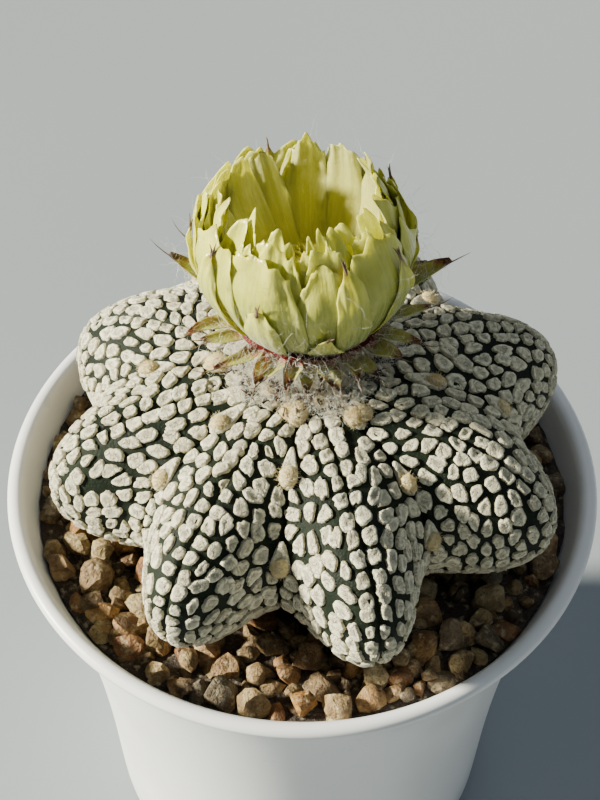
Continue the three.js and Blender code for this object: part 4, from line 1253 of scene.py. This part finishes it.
def areole_balls():
    """Felt balls at the outer ends of the tails and round the flower's foot"""
    balls = Shell("tone")
    random = np.random.default_rng(9)
    spots = []
    for phase, slope, radius, _ in areole_places():
        point, normal, along = body_frame(phase, slope)
        size = radius * random.uniform(0.85, 1.1)
        spots.append((point + normal * AREOLE["lift"], normal, along, size, random.uniform(0.1, 0.6)))
    for x, y, radius in CROWN_AREOLES:
        point = np.array([x, y, crown_height(x, y)])
        tone = 1.0 if radius < 1 else random.uniform(0.25, 0.65)
        spots.append((point + UP * radius * 0.35, UP, np.array([1.0, 0, 0]), radius, tone))
    turns = turns_of(20)
    for point, normal, along, radius, tone in spots:
        across = np.cross(normal, along)
        long = random.uniform(1.05, 1.3)
        rows = []
        for level in np.linspace(-1.2, 1.38, 11):
            lump = 1 + random.normal(0, 0.055, len(turns))
            spread = math.cos(level) * radius * lump
            rows.append(
                point + along * (np.cos(turns) * spread * long)[:, None]
                + across * (np.sin(turns) * spread)[:, None]
                + normal * math.sin(level) * radius * AREOLE["flatness"])
        index = balls.add_grid(np.array(rows), ring=True, tone=tone)
        balls.add_pole(index[0], point - normal * radius * 0.76, top=False, tone=tone)
        balls.add_pole(index[-1], point + normal * radius * 0.8, top=True, tone=tone)
    return balls.make("areole_balls", FELT)


def build_body():
    skin = body_skin()
    flecks = grow(
        "white_flecks", fleck_plates(), fleck_tree(), height=(FLECK["height"] + FLECK["sink"]) * MM,
        shoulder=FLECK["shoulder"], rim=FLECK["rim"], dip=FLECK["dip"] * MM, middle=FLECK["middle"],
        wrinkle=FLECK["wrinkle"] * MM, wrinkle_size=FLECK["wrinkle size"] / MM, seed=4, finish=FLECKS)
    balls = areole_balls()
    felt = fibre_shapes("felt", thickness=0.05, curl=0.6, seed=3, bends=2)
    fuzz = scatter("areole_fuzz", balls, felt, FELT, 21, (0.3, 0.75), 11, lean=0.9)
    return join("star_cactus_body", skin, balls, fuzz), flecks


# Flower

GLOBE_PATH = smooth_path(GLOBE, 8)


def globe_radius(height):
    return radius_on(GLOBE_PATH, height)


def build_tube():
    """Ribbed tube with its scales, their bristles, and the wool between and round them"""
    tube = Shell("along")
    rise = TUBE_TOP_Z - TUBE_FOOT_Z
    steps = np.linspace(0, 1, 18)
    turns = turns_of(72)
    ribs = 1 + 0.02 * np.sin(turns * 13)
    radius = tube_radius(steps * rise)[:, None] * ribs[None]
    grid = around_flower(radius, turns[None], (TUBE_FOOT_Z + steps * rise)[:, None])
    index = tube.add_grid(grid, ring=True, along=np.repeat(steps, len(turns)))
    tube.add_pole(index[0], [*FLOWER_AXIS, TUBE_FOOT_Z], top=False)
    tube.add_pole(index[-1], [*FLOWER_AXIS, TUBE_TOP_Z], top=True, along=1.0)
    tube = tube.make("tube", TUBE)
    scales, bristles = tube_scales()
    hairs = fibre_shapes("hair", thickness=0.007, curl=1.1, seed=16, bends=5, count=12)
    wool = scatter("tube_wool", tube, hairs, WOOL, 18, (2.2, 4.6), 0.8, lean=1.25)
    fringe = scatter("scale_wool", scales, hairs, WOOL, 19, (1.4, 3.4), 1.5, lean=1.3)
    heights = np.linspace(-8.5, 6, 9)
    band = ring_band(np.column_stack([globe_radius(heights) + 0.15, heights]), FLOWER_Z)
    thin = fibre_shapes("fine", thickness=0.0035, curl=0.5, seed=19, bends=5)
    stray = scatter("stray_wool", band, thin, WOOL, 20, (2.0, 4.5), 0.22, lean=1.45)
    bpy.data.objects.remove(band)
    return join("scaly_flower_tube", tube, scales, bristles, wool, fringe, stray)


def scale_list():
    """The scales seen in the photo and those of the rows"""
    random = np.random.default_rng(14)
    scales = list(SEEN_SCALES)
    for row in SCALE_ROWS:
        low, high = row["arc"]
        for number in range(row["count"]):
            azimuth = low + (number + 0.5 + random.uniform(-0.2, 0.2)) * (high - low) / row["count"]
            height = row["height"] + random.uniform(-0.03, 0.03)
            length = row["length"] * random.uniform(0.85, 1.15)
            rise = row["rise"] + random.uniform(-0.5, 0.5)
            scales.append((azimuth, height, length, rise, row["half width"]))
    return scales


def tube_scales():
    """Cupped and twisted scales that taper to a dry tip, each with a bristle at its end"""
    random = np.random.default_rng(15)
    scales = Shell("along")
    bristles = Shell()
    rise = TUBE_TOP_Z - TUBE_FOOT_Z
    u = np.linspace(-1, 1, 7)[None]
    for azimuth, height, size, lift, half_width in scale_list():
        turn = math.radians(azimuth + random.uniform(-3.5, 3.5))
        out = np.array([math.cos(turn), math.sin(turn), 0])
        side = np.cross(UP, out)
        foot = around_flower(tube_radius(rise * height) - 0.7, turn, TUBE_FOOT_Z + rise * height)
        droop = abs(lift) * 0.12 + 0.5
        length = size * random.uniform(0.78, 1.15)
        sway = side * random.uniform(-0.2, 0.2) * size
        half_width = half_width * random.uniform(1.0, 1.4)
        path = smooth_path([
            foot, foot + out * length * 0.4 + UP * (lift * 0.3 - droop * (lift < 0)),
            foot + out * length * 0.75 + UP * lift * 0.72 + sway * 0.4,
            foot + out * length + UP * lift + sway], 4)
        forward = unit(np.gradient(path, axis=0))
        normal = unit(np.cross(side[None], forward)) * -1
        share = np.linspace(0, 1, len(path))[:, None]
        width = half_width * np.interp(share, [0, 0.25, 0.55, 0.8, 1], [0.85, 1.05, 0.85, 0.5, 0.12])
        cup = u**2 * (random.uniform(0.1, 0.6) + 0.35 * (1 - share)) * half_width
        twist = random.uniform(-0.7, 0.7) * share**1.5
        level = side * np.cos(twist) + normal * np.sin(twist)
        middle = path[:, None] + level[:, None] * (u * width)[..., None]
        middle += normal[:, None] * cup[..., None]
        thickness = 0.16 * (1 - 0.8 * np.abs(u)) * (1 - 0.5 * share) + 0.02
        thick = thickness[..., None] * normal[:, None]
        along = np.repeat(share * random.uniform(0.9, 1.08), 2 * u.size)
        scales.add_blade(middle - thick, middle + thick, along=along)
        tip, ahead = path[-1], forward[-1]
        bend = side * random.uniform(-0.5, 0.5) + UP * random.uniform(-0.4, 0.7)
        reach = random.uniform(1.6, 3.2)
        add_bristle(bristles, [
            tip - ahead * 0.6, tip + ahead * reach * 0.5 + bend * 0.3,
            tip + ahead * reach + bend * reach * 0.6], 0.11)
    return scales.make("scales", SCALES), bristles.make("bristles", BRISTLES)


def add_bristle(shell, path, thickness, **tip_numbers):
    """Thin tapered bristle along a path"""
    path = smooth_path(path, 5)
    forward = unit(np.gradient(path, axis=0))
    side = unit(np.cross(forward, UP + 0.01))
    level = np.cross(side, forward)
    turns = np.arange(5) * 2 * np.pi / 5
    taper = thickness * np.linspace(1, 0.2, len(path))
    grid = path[:, None] + (
        side[:, None] * np.cos(turns)[None, :, None] - level[:, None] * np.sin(turns)[None, :, None]
    ) * taper[:, None, None]
    index = shell.add_grid(grid, ring=True)
    shell.add_pole(index[-1], path[-1] + forward[-1] * taper[-1], top=True, **tip_numbers)


def ripple(random, value, low, high):
    """Waves along a value, at a rate drawn between two and from a place of their own"""
    return np.sin(value * random.uniform(low, high) + random.uniform(0, 6))


def petal_top(random, u, tip, is_sepal):
    """Height of a petal's upper edge across it: arched, notched or pointed, and torn"""
    teeth = np.convolve(random.uniform(-1, 1, PETAL_COLUMNS + 2), [0.25, 0.6, 0.25], "valid")[None]
    arch = np.abs(u + random.uniform(-0.2, 0.2)) ** random.uniform(1.0, 2.2) * random.uniform(1.8, 4.4)
    notch = random.choice([0, 0, 0.9]) * bell(u, 0.22)
    point = random.uniform(0.2, 1.3) * bell(u, 0.17)
    return tip - arch * (1.3 if is_sepal else 1) - notch + point + teeth * (0.2 if is_sepal else 1.15)


def petal_waves(random, u, v, azimuth, is_sepal):
    """How far a petal's surface leaves its smooth form: its lean, lip, waves, creases and curl"""
    back = (1 + math.sin(azimuth)) / 2
    lean = (-0.9 + 1.2 * back) * smooth_step(0.6, 1.0, v) * (0.3 if is_sepal else 1)
    lip = random.uniform(-0.2, 0.9 - 0.5 * abs(math.cos(azimuth))) * smooth_step(0.8, 1, v) ** 2
    wave = 0.18 * ripple(random, v, 9, 14) * u**2 * smooth_step(0.4, 0.9, v)
    ruffle = random.uniform(0.1, 0.3) * ripple(random, u, 5, 8) * smooth_step(0.76, 1, v)
    creases = 0.18 * np.abs(ripple(random, u, 4, 6.5)) * smooth_step(0.1, 0.6, v)
    curl = random.uniform(-0.1, 0.6) * np.abs(u) ** 4 * smooth_step(0.7, 1, v)
    return lean + lip + wave + ruffle + creases + curl


def petal_brown(random, u, v, is_sepal):
    """Share of brown on a petal: at its tip, and along the middle of the outermost ones"""
    stain = smooth_step(0.9, 0.98, v) * bell(u, 0.3)
    if not is_sepal:
        return stain * random.choice([0, 0, 0.2, 0.5])
    line = bell(u, 0.09) * smooth_step(random.uniform(0.55, 0.75), 1, v) * random.uniform(0.4, 0.9)
    return np.clip(line + stain, 0, 1)


def add_petal(petals, random, azimuth, layer, is_sepal=False):
    """Broad folded petal that follows the flower's globe; returns its tip and where that points"""
    v = np.linspace(0, 1, PETAL_ROWS)[:, None]
    u = np.linspace(-1, 1, PETAL_COLUMNS)[None]
    back = (1 + math.sin(azimuth)) / 2
    tip = layer["tip"] + random.uniform(-1.1, 0.8) * layer["spread"]
    tip -= max(0, tip - FRONT_LIP) * (1 - back) + layer["drop"] * back
    tip -= 0 if is_sepal else BACK_DROP * max(0, math.cos(azimuth - BACK_AZIMUTH))
    half_width = layer["half width"] * random.uniform(0.88, 1.1)
    height = layer["root"] + (petal_top(random, u, tip, is_sepal) - layer["root"]) * v
    swell = 0.78 + 0.22 * np.sin(np.pi / 2 * np.minimum(v / 0.5, 1))
    width = half_width * swell * (1 - random.uniform(0.15, 0.4) * smooth_step(0.65, 1, v))
    waves = petal_waves(random, u, v, azimuth, is_sepal)
    stand = layer["stand"][0] + (layer["stand"][1] - layer["stand"][0]) * v
    throat = radius_on(THROAT, height)
    middle = throat + (globe_radius(height) - throat) * stand
    swing = azimuth + random.uniform(-0.06, 0.06) * v + u * width / np.maximum(middle, 7)
    folds = (0.26 * np.sin(swing * 9 + 0.6) + 0.14 * np.sin(swing * 17 + 2)) * (0.25 + 0.75 * v)
    radius = middle + waves + folds + PETAL_OVERLAP * u
    thickness = PETAL_THICKNESS * (1 - 0.5 * np.abs(u) ** 3) * (1 - 0.5 * v)
    outer = around_flower(radius + thickness / 2, swing, FLOWER_Z + height)
    inner = around_flower(radius - thickness / 2, swing, FLOWER_Z + height)
    for side in (outer, inner):
        side[..., 0] -= FLOWER_TILT * (height - layer["root"])
    flat = np.ones((PETAL_ROWS, PETAL_COLUMNS))
    brown = petal_brown(random, u, v, is_sepal)
    across = u * width + random.uniform(0, 40)
    # The inner faces are marked as inside, for the painted shade of the flower's inside
    petals.add_blade(
        outer, inner, along=both_sides(v * flat), inside=both_sides(0 * flat, flat),
        brown=both_sides(brown * flat), across=both_sides(across * flat))
    ridge = outer[:, PETAL_COLUMNS // 2]
    return ridge[-1], unit(ridge[-1] - ridge[-4])


def both_sides(outer, inner=None):
    """Numbers for a blade's points in the order in which it takes them"""
    inner = outer if inner is None else inner
    return np.concatenate([outer, inner[:, ::-1]], 1).reshape(-1)


def build_petals():
    random = np.random.default_rng(8)
    petals = Shell("along", "inside", "brown", "across")
    bristles = Shell()
    for layer in PETAL_LAYERS:
        for number in range(layer["count"]):
            place = number + layer["turn"] + random.uniform(-0.12, 0.12)
            add_petal(petals, random, place * 2 * math.pi / layer["count"], layer)
    for azimuth, height, half_width in SEPALS:
        layer = {**SEPAL_LAYER, "tip": height, "half width": half_width}
        tip, ahead = add_petal(petals, random, math.radians(azimuth), layer, is_sepal=True)
        for _ in range(3):
            bend = random.normal(0, 0.35, 3)
            path = [tip - ahead * 0.9, tip + ahead * 0.3 + bend * 0.4, tip + ahead * 1.1 + bend]
            add_bristle(bristles, path, 0.2)
    add_cup(petals)
    return join("petals", petals.make("petal_blades", PETALS), bristles.make("sepal_bristles", BRISTLES))


def add_cup(petals):
    """Slim cup inside the petals, which they grow from"""
    heights = np.linspace(CUP_FOOT, CUP_EDGE, 5)
    wall = [[CUP_RADIUS, height] for height in heights]
    rounded = [[CUP_RADIUS - CUP_WALL / 2, CUP_EDGE + 0.25]]
    inside = [[CUP_RADIUS - CUP_WALL, height] for height in heights[:0:-1]]
    outline = [*wall, *rounded, *inside, [CUP_RADIUS - 1.6, CUP_FLOOR]]
    # The cup's inner faces take the painted shade of the flower's inside
    index = petals.add_grid(turned(outline, FLOWER_Z, 64), ring=True, along=0.1, inside=1.0)
    petals.add_pole(index[0], [*FLOWER_AXIS, FLOWER_Z + CUP_FOOT], top=False, along=0.1)
    petals.add_pole(index[-1], [*FLOWER_AXIS, FLOWER_Z + CUP_FLOOR], top=True, along=0.1, inside=1.0)


def stamen_shape():
    """Stamen a metre long: a bent filament with its anther"""
    shell = Shell()
    bend, end = np.array([40, 0, 500]), np.array([-20, 30, 1000])
    add_bristle(shell, [[0, 0, 0], bend, end], 32)
    turns = turns_of(6)
    rows = []
    for level in (-1.1, -0.4, 0.4, 1.1):
        ring = np.stack([np.cos(turns), np.sin(turns), np.zeros(6)], -1) * math.cos(level) * 60
        rows.append(ring + (end + UP * math.sin(level) * 110))
    index = shell.add_grid(np.array(rows), ring=True)
    shell.add_pole(index[0], end - UP * 110, top=False)
    shell.add_pole(index[-1], end + UP * 110, top=True)
    return hide_away("stamens", [shell.make("stamen")])


def ring_band(outline, foot):
    """Open surface round the flower's axis, for shapes to be scattered on"""
    band = Shell()
    band.add_grid(turned(outline, foot, 48), ring=True)
    return band.make("band")


def build_stamens():
    """Stamens crowd on a low ring round the pistil"""
    base = Shell("tone")
    base.add_grid(turned(STAMEN_RING, STAMEN_FLOOR, 48), ring=True, tone=0.5)
    base = base.make("stamen_ring", STAMENS)
    band = ring_band(STAMEN_BAND, STAMEN_FLOOR)
    stamen = stamen_shape()
    crowd = scatter("stamen_crowd", band, stamen, STAMENS, 6, (2.2, 3.3), 1.9, lean=0.18, spacing=0.45)
    bpy.data.objects.remove(band)
    return join("stamen_cluster", base, crowd)


def build_pistil():
    """Style with a star of lobes at its top"""
    pistil = Shell("tone")
    index = pistil.add_grid(turned(PISTIL, STAMEN_FLOOR, 20), ring=True, tone=0.8)
    pistil.add_pole(index[0], [*FLOWER_AXIS, STAMEN_FLOOR], top=False, tone=0.8)
    pistil.add_pole(index[-1], [*FLOWER_AXIS, STAMEN_FLOOR + PISTIL_HEIGHT], top=True, tone=0.8)
    foot = STAMEN_FLOOR + LOBE_FOOT
    for lobe in range(LOBE_COUNT):
        turn = lobe * 2 * math.pi / LOBE_COUNT + 0.2
        path = [around_flower(radius, turn, foot + rise) for radius, rise in LOBE]
        add_bristle(pistil, path, 0.42, tone=1.0)
    return pistil.make("pistil_and_lobes", STAMENS)


# Wool at the crown

def over_crown(radius, turns, lift):
    """Points round the flower's axis, lifted over the body by a height"""
    points = around_flower(radius, turns, 0)
    points[:, 2] = [crown_height(x, y) + lift for x, y in points[:, :2]]
    return points


def crown_ring(name, inner, outer, lift, wave):
    """Wavy ring that lies over the crown round the flower's foot"""
    turns = turns_of(72)
    ring = Shell()
    ring.add_grid(np.array([
        over_crown(radius + wave * np.sin(turns * 5 + 1) * (radius > inner), turns, lift)
        for radius in np.linspace(outer, inner, 7)]), ring=True)
    return ring.make(name)


def wool_mat(random):
    """Closed lumpy mat round the flower's foot, with a ragged edge, its low tone painted shade under the
    fibres
    """
    mat = Shell("tone")
    turns = turns_of(90)
    wave = sum(np.sin(turns * k + random.uniform(0, 6)) / k for k in (3, 5, 8, 13)) * 0.5
    inner = np.full(len(turns), TUBE_FOOT_RADIUS + 0.45)
    edge = 8.0 + wave
    outline = [
        (inner, 0.0), (edge - 0.8, 0.0), (edge, 0.45), (edge - 0.6, 1.1 + wave * 0.3),
        (edge - 1.8, 1.7 + wave * 0.4), (inner + 0.8, 2.0), (inner, 1.7)]
    grid = np.array([over_crown(radius, turns, 0.3) for radius, _ in outline])
    grid[..., 2] += [np.broadcast_to(rise, len(turns)) for _, rise in outline]
    grid[2:6] += random.normal(0, 0.12, grid[2:6].shape)
    # Its low tone darkens the mat: painted shade under the wool's fibres
    mat.close_rows(mat.add_grid(grid, ring=True, tone=0.3))
    return mat.make("wool_mat", WOOL)


def build_wool():
    """Soft mat round the flower's foot, with short curls, long loose fibres and a few dried bits"""
    random = np.random.default_rng(17)
    mat = wool_mat(random)
    curls = fibre_shapes("curl", thickness=0.021, curl=0.9, seed=12, bends=3)
    strands = fibre_shapes("strand", thickness=0.0075, curl=0.9, seed=13, bends=5, count=14)
    fluff = scatter("fluff", mat, curls, WOOL, 40, (1.0, 2.2), 10, lean=1.1)
    near, far = crown_ring("near", 6.0, 9.4, 1.2, 0.6), crown_ring("far", 9.0, 12.2, 0.9, 1.2)
    cobweb = scatter("cobweb", near, strands, WOOL, 41, (2.4, 5.0), 7, lean=1.3)
    wisps = scatter("wisps", far, strands, WOOL, 42, (1.4, 3.2), 5.5, lean=1.5)
    tufts = scatter("tufts", far, curls, WOOL, 43, (0.8, 1.8), 5.5, lean=1.3)
    bpy.data.objects.remove(near)
    bpy.data.objects.remove(far)
    bits = crown_bits(random)
    return join("crown_wool_fluff", mat, fluff, cobweb, wisps, tufts, bits)


def crown_bits(random):
    """Dried bits that lie in the wool in front of the flower"""
    bits = Shell()
    for _ in range(110):
        turn = math.radians(random.uniform(190, 350))
        place = around_flower(random.uniform(7.4, 12.4), turn, 0)
        place[2] = crown_height(*place[:2]) + random.uniform(0.9, 2.2)
        direction = unit(random.normal(size=3) * [1, 1, 0.5])
        length = random.uniform(0.3, 0.9)
        ends = [place - direction * length, place + random.normal(0, 0.25, 3), place + direction * length]
        add_bristle(bits, ends, random.uniform(0.1, 0.28))
    return bits.make("dried_bits", DRIED)


# Build, and tie each piece to the frame

def settle(piece, slot, *nodes):
    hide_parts(*nodes)
    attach(piece, "root")


body, flecks = build_body()
settle(build_pot(), "white_plastic", "pot")
settle(build_gravel(), "gravel", "gravel")
settle(body, "cactus_skin", "cactus_body")
settle(flecks, "cactus_skin", "cactus_body")
settle(build_wool(), "wool", "crown_wool")
settle(build_tube(), "flower_scales", "flower_tube")
settle(build_petals(), "petals", "flower_petals")
settle(build_stamens(), "stamens", "stamens")
settle(build_pistil(), "stamens", "pistil")

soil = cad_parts["potting_mix"]
soil.data.materials.clear()
soil.data.materials.append(MIX)

for shape in SCATTERED:
    bpy.data.objects.remove(shape)


# Studio: pale floor, soft lights and the camera. The places and widths of lights are in metres.

FLOOR_REACH = 15000
KEY_PLACE = (-2.34, -0.09, 1.17)
KEY_STRENGTH, KEY_SOFTNESS, KEY_COLOUR = 15.2, 6.6, (1.0, 0.965, 0.80)
AIM = (0, 0, 0.09)
AIR_STRENGTH, AIR_COLOUR = 0.13, (0.76, 0.87, 1.0)
CAMERA_PLACE = (-0.5, -164.5, POT_HEIGHT + 217.2)
CAMERA_PITCH, CAMERA_ROLL = 50.52, 0.60
LENS, SENSOR = 80.06, 36

# Soft lights: place, width, power in watts and colour
SOFT_LIGHTS = {
    "fill": ((0.45, -0.1, 0.9), 0.9, 1.5, (0.80, 0.91, 1.0)),
    "back": ((0.1, 1.2, 1.05), 1.05, 2.25, (0.95, 0.98, 1.0)),
}


def build_floor():
    floor = Shell()
    steps = np.linspace(-FLOOR_REACH, FLOOR_REACH, 9)
    x, y = np.meshgrid(steps, steps)
    floor.add_grid(np.stack([x, y, np.zeros_like(x)], -1))
    finish = Finish("pale_floor", Roughness=0.7)
    finish.feed("Base Color", finish.ramp(
        finish.noise(260, detail=2), [(0.3, (0.26, 0.29, 0.315)), (0.7, (0.29, 0.32, 0.345))]))
    return floor.make("floor", finish.relief((finish.noise(3), 0.02)))


def add_lamp(light, place, colour):
    """Lamp at a place, aimed at the plant"""
    light.color = colour
    lamp = bpy.data.objects.new(light.name, light)
    bpy.context.scene.collection.objects.link(lamp)
    lamp.location = place
    lamp.rotation_mode = "QUATERNION"
    lamp.rotation_quaternion = (Vector(AIM) - Vector(place)).to_track_quat("-Z", "Y")


def add_key():
    """Low, warm key light from the left, the same over the whole floor"""
    light = bpy.data.lights.new("key", "SUN")
    light.energy, light.angle = KEY_STRENGTH, math.radians(KEY_SOFTNESS)
    add_lamp(light, KEY_PLACE, KEY_COLOUR)


def add_soft_light(name, place, size, power, colour):
    light = bpy.data.lights.new(name, "AREA")
    light.energy, light.size = power, size
    add_lamp(light, place, colour)


def add_air():
    """Faint even light from all sides"""
    world = bpy.data.worlds.new("studio")
    world.use_nodes = True
    light = world.node_tree.nodes["Background"]
    light.inputs["Color"].default_value = (*AIR_COLOUR, 1)
    light.inputs["Strength"].default_value = AIR_STRENGTH
    bpy.context.scene.world = world


def add_camera():
    """Camera where the photo was taken from"""
    data = bpy.data.cameras.new("camera")
    data.sensor_width, data.lens = SENSOR, LENS
    data.clip_start, data.clip_end = 0.01, 40
    camera = bpy.data.objects.new("camera", data)
    bpy.context.scene.collection.objects.link(camera)
    pitch, roll = math.radians(CAMERA_PITCH), math.radians(CAMERA_ROLL)
    forward = Vector((0, math.cos(pitch), -math.sin(pitch)))
    level, over = Vector((1, 0, 0)), Vector((0, math.sin(pitch), math.cos(pitch)))
    right = math.cos(roll) * level + math.sin(roll) * over
    up = -math.sin(roll) * level + math.cos(roll) * over
    turn = Matrix((right, up, -forward)).transposed()
    camera.matrix_world = Matrix.Translation(Vector(CAMERA_PLACE) * MM) @ turn.to_4x4()
    bpy.context.scene.camera = camera


build_floor()
add_key()
for name, light in SOFT_LIGHTS.items():
    add_soft_light(name, *light)
add_air()
add_camera()
